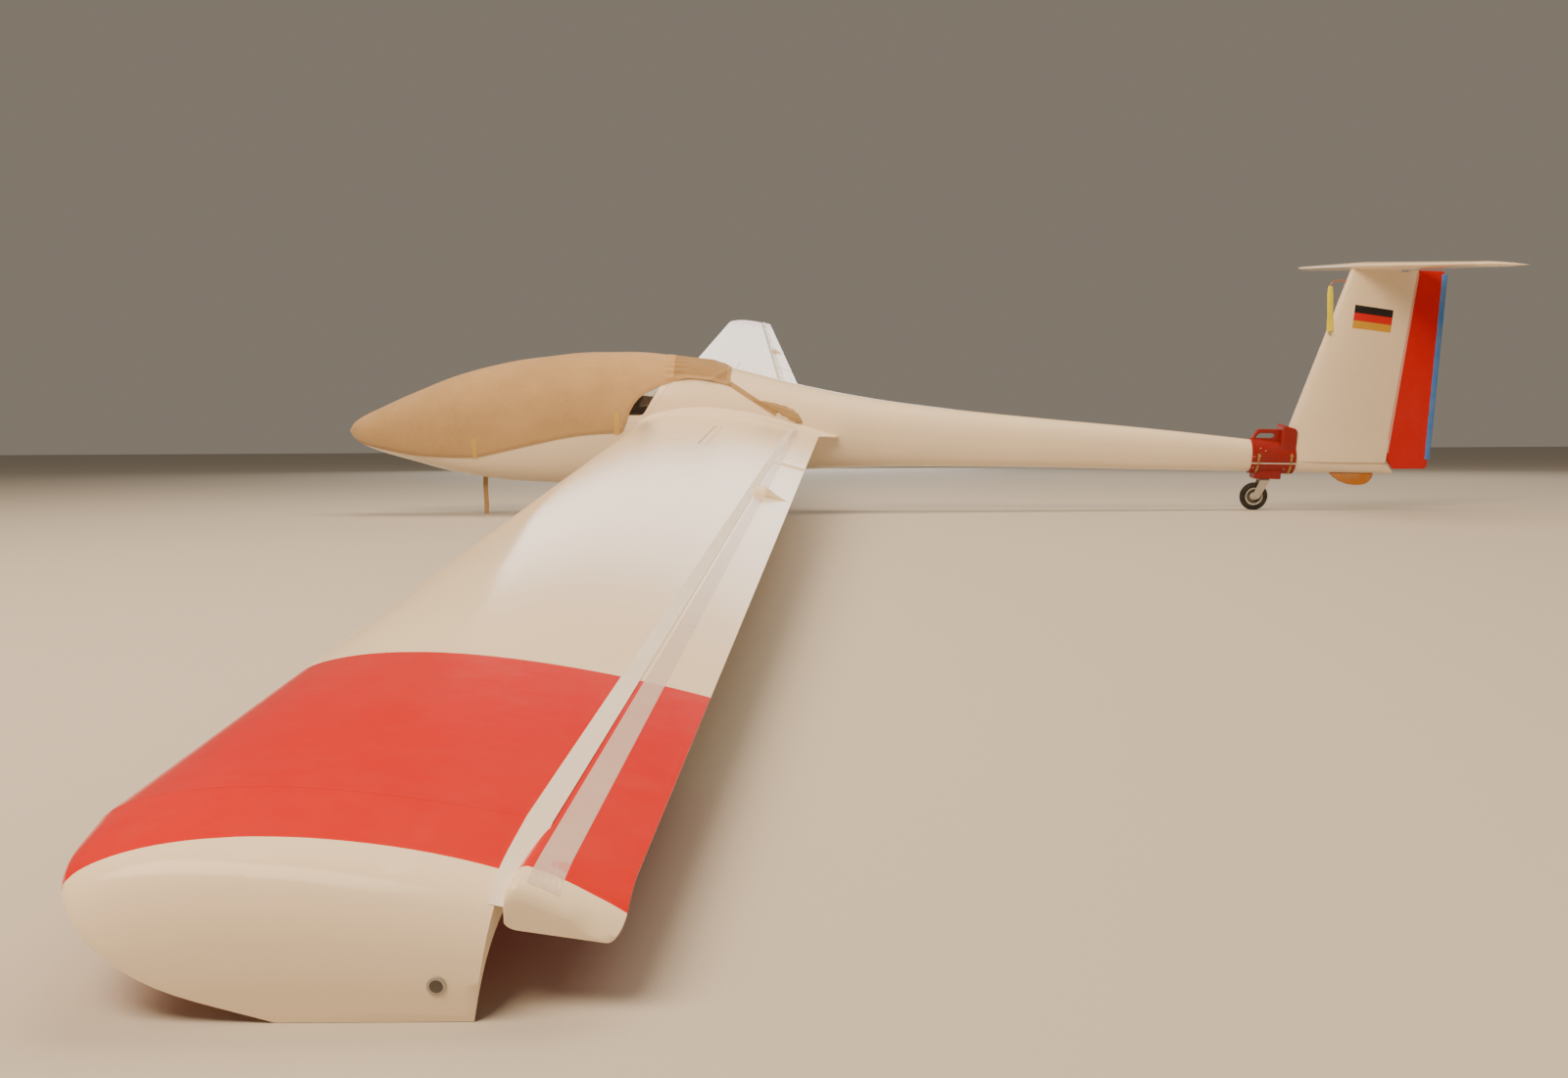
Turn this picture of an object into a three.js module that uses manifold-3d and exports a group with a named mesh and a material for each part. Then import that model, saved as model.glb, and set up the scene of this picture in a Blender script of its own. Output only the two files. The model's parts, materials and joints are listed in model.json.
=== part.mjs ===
// A 15 metre single-seat sailplane, parked on its main wheel, a tail dolly and its left wing tip.
// Units are millimetres. The glider is drawn level in its own axes: x runs aft from the nose,
// y to starboard and z up. Groups at the end then bank and pitch it into the parked attitude.

import * as THREE from 'three';
import { mergeVertices } from 'three/addons/utils/BufferGeometryUtils.js';
import Module from 'manifold-3d';

const wasm = await Module();
wasm.setup();

// Driving dimensions
const HALF_SPAN = 7500;
const BANK = THREE.MathUtils.degToRad(6.7);
const ATTITUDE = THREE.MathUtils.degToRad(1.45);
const SEAT_GAP = 0.3;
const MOVING_GAP = 6;

// Fuselage
const SHELL_WALL = 14;
const POD_END = 2500;
const BOOM_CAVITY_END = 6350;
const SECTION_STEPS = 28;
const CANOPY_WALL = 4;
const CANOPY_FRAME_WALL = 24;

// Wing
const WING_ROOT_Y = 362;
const WING_TIP_Y = 7340;
const WING_ROOT = { lead: 1845, trail: 2945, height: 611, thick: 0.155 };
const WING_TIP = { lead: 2108, trail: 2589, height: 1027, thick: 0.125 };
const WING_CAMBER = 0.025;
const WING_WASH = 0.012;
const HINGE_ROOT_X = 2795;
const HINGE_TIP_X = 2500;
const FLAP_INNER_Y = 408;
const FLAP_OUTER_Y = 3090;
const AILERON_INNER_Y = 3110;
const AILERON_OUTER_Y = 7480;
const HORN_Y = 4345;
const BRAKE_INNER_Y = 1500;
const BRAKE_OUTER_Y = 2850;
const BRAKE_DEPTH = 88;
const BRAKE_HALF = 14;
const ROOT_RIB_Y = 396;
const WING_WALL = { root: 14, tip: 5 };
const SPAR_WIDTH = { root: 160, tip: 10 };
const REAR_WALL = 12;
const WING_CAVITY_END_Y = 7200;

// Tail
const FIN_TOP_Z = 1652;
const RUDDER_TOP_Z = 1640;
const TAIL_HALF_SPAN = 1270;
const TAILPLANE_Z = 1682;

// Wheels: free radius of the tyre, and its radius where the parked glider's weight presses it flat
const MAIN_WHEEL = { x: 2000, radius: 182.5, loaded: 179.133, halfWidth: 62, rim: 96, section: 60, steps: 32 };
const DOLLY_WHEEL = { x: 5738, radius: 88.5, loaded: 87.247, halfWidth: 21, rim: 56, section: 18, steps: 24 };
const CASTOR_X = 5798;

const material = (color, roughness, metalness = 0) =>
  new THREE.MeshStandardMaterial({ color, roughness, metalness });
const gelcoat = () => material(0xf1e6d2, 0.25);
const redPaint = () => material(0xd90f08, 0.3);
const dollyRed = () => material(0x9c0b06, 0.4);
const canvas = () => material(0xcda573, 0.9);
const webbing = () => material(0xa9834f, 0.9);
const rubber = () => material(0x17150f, 0.85);
const steel = () => material(0x9a9a94, 0.4, 0.8);
const darkTrim = () => material(0x26241f, 0.7);

// Height of the floor in the glider's level axes, below the point (x, y).
function floorHeight(x, y) {
  return (-Math.sin(BANK) * y / Math.cos(BANK) + Math.sin(ATTITUDE) * x) / Math.cos(ATTITUDE);
}

// Height of a wheel's axle when its pressed tyre stands on the floor.
function axleHeight(wheel) {
  return (wheel.loaded + Math.sin(ATTITUDE) * wheel.x) / Math.cos(ATTITUDE);
}

// Closed solid through rings of points: every ring has the same count, in the same order.
function loft(rings) {
  const count = rings[0].length;
  const positions = rings.flat().flatMap((p) => [p.x, p.y, p.z]);
  const index = [];
  for (let r = 0; r + 1 < rings.length; r += 1) {
    for (let i = 0; i < count; i += 1) {
      const a = r * count + i;
      const b = r * count + (i + 1) % count;
      index.push(a, b, b + count, a, b + count, a + count);
    }
  }
  const cap = (ring, first, flip) => {
    const normal = new THREE.Vector3();
    for (let i = 0; i < count; i += 1) {
      normal.add(new THREE.Vector3().crossVectors(ring[i], ring[(i + 1) % count]));
    }
    normal.normalize();
    const turn = new THREE.Quaternion().setFromUnitVectors(normal, new THREE.Vector3(0, 0, 1));
    const flat = ring.map((p) => {
      const q = p.clone().applyQuaternion(turn);
      return new THREE.Vector2(q.x, q.y);
    });
    for (const [a, b, c] of THREE.ShapeUtils.triangulateShape(flat, [])) {
      index.push(...(flip ? [first + c, first + b, first + a] : [first + a, first + b, first + c]));
    }
  };
  cap(rings[0], 0, true);
  cap(rings[rings.length - 1], (rings.length - 1) * count, false);
  const geometry = new THREE.BufferGeometry();
  geometry.setAttribute('position', new THREE.Float32BufferAttribute(positions, 3));
  geometry.setIndex(index);
  return facingOut(geometry);
}

// Signed volume of a closed indexed geometry.
function volume(geometry) {
  const p = geometry.attributes.position;
  const index = geometry.index.array;
  const [a, b, c] = [new THREE.Vector3(), new THREE.Vector3(), new THREE.Vector3()];
  let total = 0;
  for (let i = 0; i < index.length; i += 3) {
    a.fromBufferAttribute(p, index[i]);
    b.fromBufferAttribute(p, index[i + 1]);
    c.fromBufferAttribute(p, index[i + 2]);
    total += a.dot(b.cross(c)) / 6;
  }
  return total;
}

function facingOut(geometry) {
  if (volume(geometry) < 0) {
    const index = geometry.index.array;
    for (let i = 0; i < index.length; i += 3) {
      [index[i], index[i + 2]] = [index[i + 2], index[i]];
    }
  }
  return geometry;
}

// Boolean work: a geometry becomes a solid, and a solid a geometry again.
function solid(geometry) {
  const bare = geometry.clone();
  bare.deleteAttribute('normal');
  bare.deleteAttribute('uv');
  const merged = mergeVertices(bare, 1e-3);
  return new wasm.Manifold(new wasm.Mesh({
    numProp: 3,
    vertProperties: new Float32Array(merged.attributes.position.array),
    triVerts: new Uint32Array(merged.index.array),
  }));
}

function toGeometry(manifold) {
  const mesh = manifold.getMesh();
  const geometry = new THREE.BufferGeometry();
  geometry.setAttribute('position', new THREE.BufferAttribute(mesh.vertProperties, 3));
  geometry.setIndex(new THREE.BufferAttribute(mesh.triVerts, 1));
  return geometry;
}

const v3 = (x, y, z) => new THREE.Vector3(x, y, z);

// Prism of a side outline of [x, z] points, from y0 to y1.
function sidePrism(outline, y0, y1) {
  return loft([outline.map(([x, z]) => v3(x, y0, z)), outline.map(([x, z]) => v3(x, y1, z))]);
}

// Prism of a plan outline of [x, y] points, from z0 to z1.
function planPrism(outline, z0, z1) {
  return loft([outline.map(([x, y]) => v3(x, y, z0)), outline.map(([x, y]) => v3(x, y, z1))]);
}

function box(x0, x1, y0, y1, z0, z1) {
  const geometry = new THREE.BoxGeometry(x1 - x0, y1 - y0, z1 - z0);
  return geometry.translate((x0 + x1) / 2, (y0 + y1) / 2, (z0 + z1) / 2);
}

// Lathe of [radius, offset] points about the y axis through (x, 0, z), with a flat square to the floor.
function wheelTurned(profile, steps, x, z) {
  const start = Math.PI / steps - ATTITUDE;
  const geometry = new THREE.LatheGeometry(profile.map(([r, o]) => new THREE.Vector2(r, o)), steps, start);
  geometry.deleteAttribute('normal');
  geometry.deleteAttribute('uv');
  return facingOut(mergeVertices(geometry, 1e-3)).translate(x, 0, z);
}

// Fuselage sections: x, half width, top, bottom, section power.
const FUSELAGE = [
  [10, 6, 545, 531, 2.0],
  [35, 42, 586, 492, 2.0],
  [100, 92, 632, 447, 2.0],
  [215, 142, 677, 406, 2.05],
  [400, 195, 767, 358, 2.1],
  [650, 245, 884, 296, 2.15],
  [900, 280, 956, 257, 2.2],
  [1164, 303, 1005, 240, 2.2],
  [1560, 315, 1055, 236, 2.2],
  [1960, 312, 1051, 242, 2.2],
  [2200, 300, 1027, 258, 2.2],
  [2500, 275, 966, 296, 2.15],
  [2850, 232, 878, 350, 2.1],
  [3300, 176, 800, 373, 2.0],
  [3800, 140, 745, 385, 2.0],
  [4300, 118, 705, 391, 2.0],
  [5050, 92, 651, 391, 2.0],
  [5660, 73, 595, 393, 2.0],
  [6000, 62, 560, 393, 2.0],
  [6400, 45, 522, 393, 2.0],
  [6536, 34, 500, 394, 2.0],
  [6597, 22, 420, 396, 2.0],
];

// One fuselage value at x, straight between the sections.
function fuselageAt(x) {
  const last = FUSELAGE.length - 1;
  let i = FUSELAGE.findIndex((row) => row[0] > x);
  if (i < 1) {
    i = i === 0 ? 1 : last;
  }
  const [a, b] = [FUSELAGE[i - 1], FUSELAGE[i]];
  const t = (x - a[0]) / (b[0] - a[0]);
  return a.map((value, k) => value + (b[k] - value) * t);
}

// Ring of a fuselage section, grown outward by an offset.
function fuselageRing([x, halfWidth, top, bottom, power], offset = 0, shift = 0) {
  const middle = (top + bottom) / 2;
  const halfHeight = (top - bottom) / 2 + offset;
  const round = (value) => Math.sign(value) * Math.abs(value) ** (2 / power);
  return Array.from({ length: SECTION_STEPS }, (_, i) => {
    const angle = 2 * Math.PI * i / SECTION_STEPS;
    return v3(x + shift, (halfWidth + offset) * round(Math.cos(angle)),
      middle + halfHeight * round(Math.sin(angle)));
  });
}

// Fuselage body between two stations, grown by an offset all round and at its nose.
function fuselageSolid(x0, x1, offset = 0) {
  const rows = FUSELAGE.filter(([x]) => x > x0 + 1 && x < x1 - 1);
  const rings = [fuselageAt(x0), ...rows, fuselageAt(x1)].map((row, i) =>
    fuselageRing(row, offset, i === 0 && x0 <= FUSELAGE[0][0] ? -offset : 0));
  return solid(loft(rings));
}

// Side outlines, as [x, z]
const CANOPY_OUTLINE = [
  [400, 1300], [400, 790], [440, 715], [560, 662], [900, 650], [1850, 655], [2020, 870], [2125, 1030], [2125, 1300],
];
const CANOPY_GLASS_OUTLINE = [
  [452, 1300], [452, 800], [488, 745], [590, 702], [900, 690], [1828, 695], [1980, 885], [2085, 1040], [2085, 1300],
];
const COVER_OUTLINE = [
  [-40, 1300], [-40, 505], [120, 455], [365, 417], [604, 407], [837, 426], [1054, 488], [1306, 549], [1599, 597],
  [1748, 594], [1766, 666], [1784, 744], [1850, 834], [1968, 913], [2140, 934], [2276, 919], [2401, 897], [2401, 1300],
];
const SEAT_OUTLINE = [
  [1080, 100], [1080, 345], [1120, 362], [1380, 330], [1470, 372], [1700, 640], [1745, 760], [1790, 765],
  [1765, 640], [1640, 470], [1640, 100],
];
const STICK_FOOT_Z = 359.8;
const HEADREST_FOOT_Z = 765.4;
const STRAP_THICK = 3;
const STRAP_WIDTH = 30;
const BELLY_STRAP_X = 848;
const WHEEL_WELL = { x0: 1775, x1: 2225, halfWidth: 82, top: 480 };

const outline = (points, y0, y1) => solid(sidePrism(points, y0, y1));
const WIDE = 500;

function hollowPod() {
  const cavity = fuselageSolid(180, 1700, -SHELL_WALL);
  const shelf = fuselageSolid(1640, 2150, -SHELL_WALL).intersect(solid(box(1640, 2150, -WIDE, WIDE, 520, 1300)));
  const well = solid(box(WHEEL_WELL.x0, WHEEL_WELL.x1, -WHEEL_WELL.halfWidth, WHEEL_WELL.halfWidth, 0, WHEEL_WELL.top));
  return fuselageSolid(FUSELAGE[0][0], POD_END)
    .subtract(cavity)
    .subtract(shelf)
    .subtract(well)
    .subtract(outline(CANOPY_OUTLINE, -WIDE, WIDE));
}

// Tail boom: a tube, open where it meets the pod and closed under the fin
function hollowBoom() {
  const [front, rear] = [POD_END + SEAT_GAP, 6597];
  return fuselageSolid(front, rear).subtract(fuselageSolid(front - 20, BOOM_CAVITY_END, -SHELL_WALL));
}

function canopyFrame() {
  const band = outline(grown(CANOPY_OUTLINE, -1), -WIDE, WIDE).subtract(outline(CANOPY_GLASS_OUTLINE, -WIDE, WIDE));
  return fuselageSolid(100, 2300).subtract(fuselageSolid(90, 2310, -CANOPY_FRAME_WALL)).intersect(band);
}

function canopyGlass() {
  const pane = outline(grown(CANOPY_GLASS_OUTLINE, -SEAT_GAP * 2), -WIDE, WIDE);
  return fuselageSolid(100, 2300).subtract(fuselageSolid(90, 2310, -CANOPY_WALL)).intersect(pane);
}

function coverSolid() {
  return fuselageSolid(FUSELAGE[0][0], 2420, 8)
    .subtract(fuselageSolid(FUSELAGE[0][0], 2430, SEAT_GAP * 2))
    .intersect(outline(COVER_OUTLINE, -WIDE, WIDE));
}

// Strap that lies on the fuselage's skin, inside a side view outline and between two planes of y.
function skinStrap(points, y0, y1) {
  return fuselageSolid(FUSELAGE[0][0], 3300, STRAP_THICK)
    .subtract(fuselageSolid(FUSELAGE[0][0], 3310, SEAT_GAP * 2))
    .intersect(outline(points, y0, y1));
}

// Belly strap: from the cover's starboard hem to the keel, where its loose end hangs almost to the floor.
function bellyStrap() {
  const [x0, x1] = [BELLY_STRAP_X - STRAP_WIDTH / 2, BELLY_STRAP_X + STRAP_WIDTH / 2];
  const band = skinStrap([[x0, 200], [x1, 200], [x1, 424], [x0, 424]], -4, WIDE);
  const keel = fuselageAt(x1)[3];
  const end = box(x0, x1, -4, -4 + STRAP_THICK, floorHeight(BELLY_STRAP_X, 0) + 3, keel - 1);
  return band.add(solid(end));
}

// Strap from the cover's aft corner down to the wing root.
function aftStrap() {
  return skinStrap([[2402, 908], [2402, 882], [2680, 705], [2694, 730]], -WIDE, 0);
}

// Outline moved in by a distance, along each corner's bisector.
function grown(points, distance) {
  const area = points.reduce((sum, [x, z], i) => {
    const [nx, nz] = points[(i + 1) % points.length];
    return sum + x * nz - nx * z;
  }, 0);
  const sign = area > 0 ? 1 : -1;
  return points.map((point, i) => {
    const before = points[(i + points.length - 1) % points.length];
    const after = points[(i + 1) % points.length];
    const side = (a, b) => {
      const d = new THREE.Vector2(b[0] - a[0], b[1] - a[1]).normalize();
      return new THREE.Vector2(d.y, -d.x).multiplyScalar(sign);
    };
    const n1 = side(before, point);
    const n2 = side(point, after);
    const sum = n1.clone().add(n2);
    const scale = 2 * distance / sum.lengthSq();
    return [point[0] + sum.x * scale, point[1] + sum.y * scale];
  });
}

// Wing aerofoil: camber and thickness of a section at a chord fraction.
function aerofoil(fraction, thick, camber) {
  const f = THREE.MathUtils.clamp(fraction, 0, 1);
  const half = 5 * thick * (0.2969 * Math.sqrt(f) - 0.126 * f - 0.3516 * f ** 2 + 0.2843 * f ** 3 - 0.1008 * f ** 4);
  const peak = 0.45;
  const line = f < peak
    ? camber / peak ** 2 * (2 * peak * f - f * f)
    : camber / (1 - peak) ** 2 * ((1 - 2 * peak) + 2 * peak * f - f * f);
  return { top: line + half, bottom: line - half };
}

// A wing or tail surface between two stations, each with lead, trail, height and thick.
function surface(root, rootY, tip, tipY, camber = 0, wash = 0) {
  const mix = (a, b, t) => a + (b - a) * t;
  return {
    at(y) {
      const t = (Math.abs(y) - rootY) / (tipY - rootY);
      return {
        lead: mix(root.lead, tip.lead, t),
        trail: mix(root.trail, tip.trail, t),
        height: mix(root.height, tip.height, t),
        thick: mix(root.thick, tip.thick, t),
      };
    },
    skin(x, y) {
      const s = this.at(y);
      const chord = s.trail - s.lead;
      const f = (x - s.lead) / chord;
      const foil = aerofoil(f, s.thick, camber);
      const base = s.height - wash * chord * (f - 0.5) * 2;
      return { top: base + foil.top * chord, bottom: base + foil.bottom * chord };
    },
    // Ring of the whole section at y: along the top to the trailing edge and back below.
    ring(y, steps = 9) {
      const s = this.at(y);
      const xs = Array.from({ length: steps }, (_, i) =>
        s.lead + (s.trail - s.lead) * (1 - Math.cos(Math.PI * i / (steps - 1))) / 2);
      const top = xs.map((x) => v3(x, y, this.skin(x, y).top));
      const bottom = xs.slice(1).reverse().map((x) => v3(x, y, this.skin(x, y).bottom));
      return [...top, ...bottom];
    },
    // Ring of a hinged flap at y: a round nose on the hinge, then the skins to the trailing edge.
    flapRing(y, hingeX, noseSteps = 5, skinSteps = 3) {
      const s = this.at(y);
      const at = this.skin(hingeX, y);
      const middle = (at.top + at.bottom) / 2;
      const radius = (at.top - at.bottom) / 2;
      const nose = Array.from({ length: noseSteps }, (_, i) => {
        const angle = Math.PI / 2 + Math.PI * i / (noseSteps - 1);
        return v3(hingeX + radius * Math.cos(angle), y, middle + radius * Math.sin(angle));
      });
      const back = Array.from({ length: skinSteps }, (_, i) => hingeX + (s.trail - hingeX) * (i + 1) / skinSteps);
      const low = back.map((x) => v3(x, y, this.skin(x, y).bottom));
      const high = back.slice(0, -1).reverse().map((x) => v3(x, y, this.skin(x, y).top));
      return [...nose, ...low, v3(s.trail, y, this.skin(s.trail, y).top), ...high];
    },
    hinge(y, hingeX) {
      const at = this.skin(hingeX, y);
      return v3(hingeX, y, (at.top + at.bottom) / 2);
    },
  };
}

const wing = surface(WING_ROOT, WING_ROOT_Y, WING_TIP, WING_TIP_Y, WING_CAMBER, WING_WASH);
const hingeX = (y) =>
  HINGE_ROOT_X + (HINGE_TIP_X - HINGE_ROOT_X) * (Math.abs(y) - WING_ROOT_Y) / (AILERON_OUTER_Y - WING_ROOT_Y);
const hingeRadius = (y) => {
  const at = wing.skin(hingeX(y), y);
  return (at.top - at.bottom) / 2;
};
const pocketX = (y) => hingeX(y) - hingeRadius(y) - MOVING_GAP;

// One hinge: a lug that reaches forward to the fixed part, its slot and a pin fixed in the flap.
const LUG_THICK = 8;
const LUG_HALF = 6;
const PIN_RADIUS = 3;

function hingeAt(point, direction, reach) {
  const forward = v3(-1, 0, 0).projectOnPlane(direction).normalize();
  const place = new THREE.Matrix4()
    .makeBasis(forward, direction, new THREE.Vector3().crossVectors(forward, direction))
    .setPosition(point);
  const bar = (front, back, thick, half) =>
    solid(new THREE.BoxGeometry(front + back, thick, 2 * half).translate((front - back) / 2, 0, 0).applyMatrix4(place));
  const rod = (radius, length) => solid(new THREE.CylinderGeometry(radius, radius, length, 10).applyMatrix4(place));
  const slotThick = LUG_THICK + 2 * MOVING_GAP;
  return {
    lug: bar(reach, LUG_HALF, LUG_THICK, LUG_HALF).subtract(rod(PIN_RADIUS + 0.4, 30)),
    slot: bar(120, LUG_HALF * 1.5 + MOVING_GAP, slotThick, 120),
    pin: rod(PIN_RADIUS, slotThick + 6),
  };
}

function withLugs(body, hinges) {
  return hinges.reduce((whole, hinge) => whole.add(hinge.lug), body);
}

function withPins(body, hinges) {
  const slotted = hinges.reduce((whole, hinge) => whole.subtract(hinge.slot), body);
  return hinges.reduce((whole, hinge) => whole.add(hinge.pin), slotted);
}

const hingePoint = (y) => wing.hinge(-y, hingeX(y));
const wingHinges = (stations, inner, outer) => stations.map((y) => {
  const [a, b] = [hingePoint(inner), hingePoint(outer)];
  const direction = b.clone().sub(a).normalize();
  return hingeAt(a.lerp(b, (y - inner) / (outer - inner)), direction, hingeRadius(y) + MOVING_GAP + 4);
});
const flapHinges = () => wingHinges([700, 1750, 2800], FLAP_INNER_Y, FLAP_OUTER_Y);
const aileronHinges = () => wingHinges([3400, 5300, 7150], AILERON_INNER_Y, AILERON_OUTER_Y);

// Left wing panel; the right one is its mirror image.
function wingPanel() {
  const rings = [WING_ROOT_Y, 2400, 4900, WING_TIP_Y].map((y) => wing.ring(-y, 12));
  const pocket = planPrism([
    [pocketX(ROOT_RIB_Y), -ROOT_RIB_Y],
    [pocketX(HALF_SPAN), -HALF_SPAN],
    [3300, -HALF_SPAN],
    [3300, -ROOT_RIB_Y],
  ], 0, 1400);
  const panel = solid(loft(rings)).subtract(solid(pocket)).subtract(brakeBox(MOVING_GAP))
    .subtract(wingCavity(noseX, sparX))
    .subtract(wingCavity((y) => brakeX(y) + BRAKE_HALF + MOVING_GAP + REAR_WALL, (y) => pocketX(y) - REAR_WALL));
  return withLugs(panel, [...flapHinges(), ...aileronHinges()]);
}

const brakeX = (y) => (wing.at(y).lead + wing.at(y).trail) / 2;

// A dimension of the wing's structure at y, straight from root to tip.
const tapered = ({ root, tip }, y) => root + (tip - root) * (y - WING_ROOT_Y) / (WING_TIP_Y - WING_ROOT_Y);
const noseX = (y) => wing.at(y).lead + (wing.at(y).trail - wing.at(y).lead) * 0.05;
const sparX = (y) => brakeX(y) - BRAKE_HALF - MOVING_GAP - tapered(SPAR_WIDTH, y);

// Space inside the wing's shell between two lines, open at the root.
function wingCavity(front, rear) {
  const shares = [0, 0.12, 0.3, 0.5, 0.75, 1];
  return solid(loft([WING_ROOT_Y - 5, 2400, 4900, WING_CAVITY_END_Y].map((y) => {
    const wall = tapered(WING_WALL, y);
    const xs = shares.map((share) => front(y) + (rear(y) - front(y)) * share);
    const top = xs.map((x) => v3(x, -y, wing.skin(x, y).top - wall));
    const bottom = xs.reverse().map((x) => v3(x, -y, wing.skin(x, y).bottom + wall));
    return [...top, ...bottom];
  })));
}

// Slot for the airbrake blade in the left wing, open above.
function brakeBox(gap) {
  const half = BRAKE_HALF + gap;
  const corners = [[BRAKE_INNER_Y - gap, -half], [BRAKE_INNER_Y - gap, half], [BRAKE_OUTER_Y + gap, half],
    [BRAKE_OUTER_Y + gap, -half]];
  const ring = (lift) => corners.map(([y, side]) => v3(brakeX(y) + side, -y, wing.skin(brakeX(y), y).top + lift));
  return solid(loft([ring(-BRAKE_DEPTH - gap), ring(400)]));
}

// Blade of T section: a cap that lies in the wing's skin over a thin web.
function brakeBlade() {
  const web = 3;
  const cap = 5;
  const ring = (y) => {
    const x = brakeX(y);
    const top = wing.skin(x, y).top;
    return [
      v3(x - BRAKE_HALF, -y, top), v3(x + BRAKE_HALF, -y, top), v3(x + BRAKE_HALF, -y, top - cap),
      v3(x + web, -y, top - cap), v3(x + web, -y, top - BRAKE_DEPTH), v3(x - web, -y, top - BRAKE_DEPTH),
      v3(x - web, -y, top - cap), v3(x - BRAKE_HALF, -y, top - cap),
    ];
  };
  const [y0, y1] = [BRAKE_INNER_Y - MOVING_GAP, BRAKE_OUTER_Y + MOVING_GAP];
  const skin = (y) => wing.skin(brakeX(y), y).top;
  const floor = (y) => skin(y0) + (skin(y1) - skin(y0)) * (y - y0) / (y1 - y0) - BRAKE_DEPTH - MOVING_GAP + SEAT_GAP;
  const foot = (y) => {
    const ring = (at) => {
      const x = brakeX(at);
      return [v3(x - web, -at, floor(at)), v3(x + web, -at, floor(at)), v3(x + web, -at, floor(at) + 30),
        v3(x - web, -at, floor(at) + 30)];
    };
    return solid(loft([ring(y), ring(y + 30)]));
  };
  return solid(loft([ring(BRAKE_INNER_Y), ring(BRAKE_OUTER_Y)])).add(foot(1650)).add(foot(2670));
}

// Drooped tip: the front of the wing section, carried out and down to an edge on the floor.
function wingTip() {
  const rearX = pocketX(WING_TIP_Y);
  // Stations: y, droop share, front x, thickness share
  const stations = [
    [WING_TIP_Y + SEAT_GAP, 0, WING_TIP.lead, 1.0],
    [7425, 0.03, 2122, 0.97],
    [7466, 0.13, 2140, 0.86],
    [7489, 0.38, 2170, 0.6],
    [7498, 0.7, 2222, 0.34],
    [HALF_SPAN, 1.0, 2314, 0.14],
  ];
  const steps = 9;
  const rings = stations.map(([y, droop, front, share]) => {
    const rear = pocketX(y);
    const xs = Array.from({ length: steps }, (_, i) =>
      front + (rear - front) * (1 - Math.cos(Math.PI * i / (steps - 1) / 2)));
    const section = (x) => {
      const f = WING_TIP.lead + (rearX - WING_TIP.lead) * (x - front) / (rear - front);
      const skin = wing.skin(f, WING_TIP_Y);
      const middle = (skin.top + skin.bottom) / 2;
      const half = (skin.top - skin.bottom) / 2 * share;
      const edge = floorHeight(x, -HALF_SPAN) + half + SEAT_GAP;
      const centre = middle + (edge - middle) * droop;
      const low = centre - half;
      return [centre + half, low];
    };
    const top = xs.map((x) => v3(x, -y, section(x)[0]));
    const bottom = xs.slice(1).reverse().map((x) => v3(x, -y, section(x)[1]));
    return [...top, ...bottom];
  });
  return solid(loft(rings)).subtract(solid(holeAcross(2440, -HALF_SPAN, 30)));
}

// Tie-down hole through the tip's lower edge.
function holeAcross(x, y, above) {
  const geometry = new THREE.CylinderGeometry(6, 6, 400, 10);
  return geometry.translate(x, y, floorHeight(x, y) + above);
}

// Aileron: its outer end turns down behind the wing tip.
function aileron() {
  // Stations: y, drop of the lower skin, drop of the upper skin
  const stations = [[AILERON_INNER_Y, 0, 0], [7430, 0, 0], [7462, 12, 1], [AILERON_OUTER_Y, 42, 9]];
  const body = solid(loft(stations.map(([y, low, high]) => {
    const hinge = wing.hinge(y, hingeX(y));
    return wing.flapRing(-y, hingeX(y)).map((p) => {
      const share = THREE.MathUtils.smoothstep(p.x, hinge.x - hingeRadius(y) - 2, hinge.x + 8);
      return v3(p.x, p.y, p.z - (p.z < hinge.z ? low : high) * share);
    });
  })));
  return withPins(body.add(aileronHorn()), aileronHinges());
}

// Teardrop fairing over the aileron's drive: round in front, it ends in a point near the trailing edge.
function aileronHorn() {
  const start = hingeX(HORN_Y);
  const end = wing.at(HORN_Y).trail - 14;
  const point = (share, side, lift) => {
    const x = start + (end - start) * share;
    return v3(x, -HORN_Y - side, wing.skin(x, HORN_Y).top + lift);
  };
  const ring = (half, front, lift) => [
    point(front, -half * 0.5, lift), point(front + 0.12, -half, lift), point(0.55, -half * 0.6, lift * 0.8),
    point(1, 0, lift * 0.1), point(0.55, half * 0.6, lift * 0.8), point(front + 0.12, half, lift),
    point(front, half * 0.5, lift),
  ];
  return solid(loft([ring(47, 0, -4), ring(36, 0.02, 14), ring(14, 0.08, 29)]));
}

function flap() {
  return withPins(solid(loft([FLAP_INNER_Y, FLAP_OUTER_Y].map((y) => wing.flapRing(-y, hingeX(y))))), flapHinges());
}

// Root fairing: swells from the wing section to the fuselage side.
function rootFairing(side) {
  const ring = (y, grow, tail) => wing.ring(-WING_ROOT_Y, 12).map((p) => {
    const s = wing.at(WING_ROOT_Y);
    const middle = s.height + 12;
    const f = (p.x - s.lead) / (s.trail - s.lead);
    const reach = f > 0.5 ? 1 + tail * (f - 0.5) : 1;
    return v3(s.lead - grow * 0.6 * (1 - f) + (p.x - s.lead) * reach, -y, middle + (p.z - middle) * (1 + grow / 110));
  });
  const fairing = loft([ring(140, 60, 0.24), ring(262, 46, 0.2), ring(310, 20, 0.1), ring(WING_ROOT_Y - SEAT_GAP, 0, 0)]);
  return solid(side < 0 ? fairing : mirrored(fairing)).subtract(fuselageSolid(1500, 3600, SEAT_GAP));
}

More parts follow.
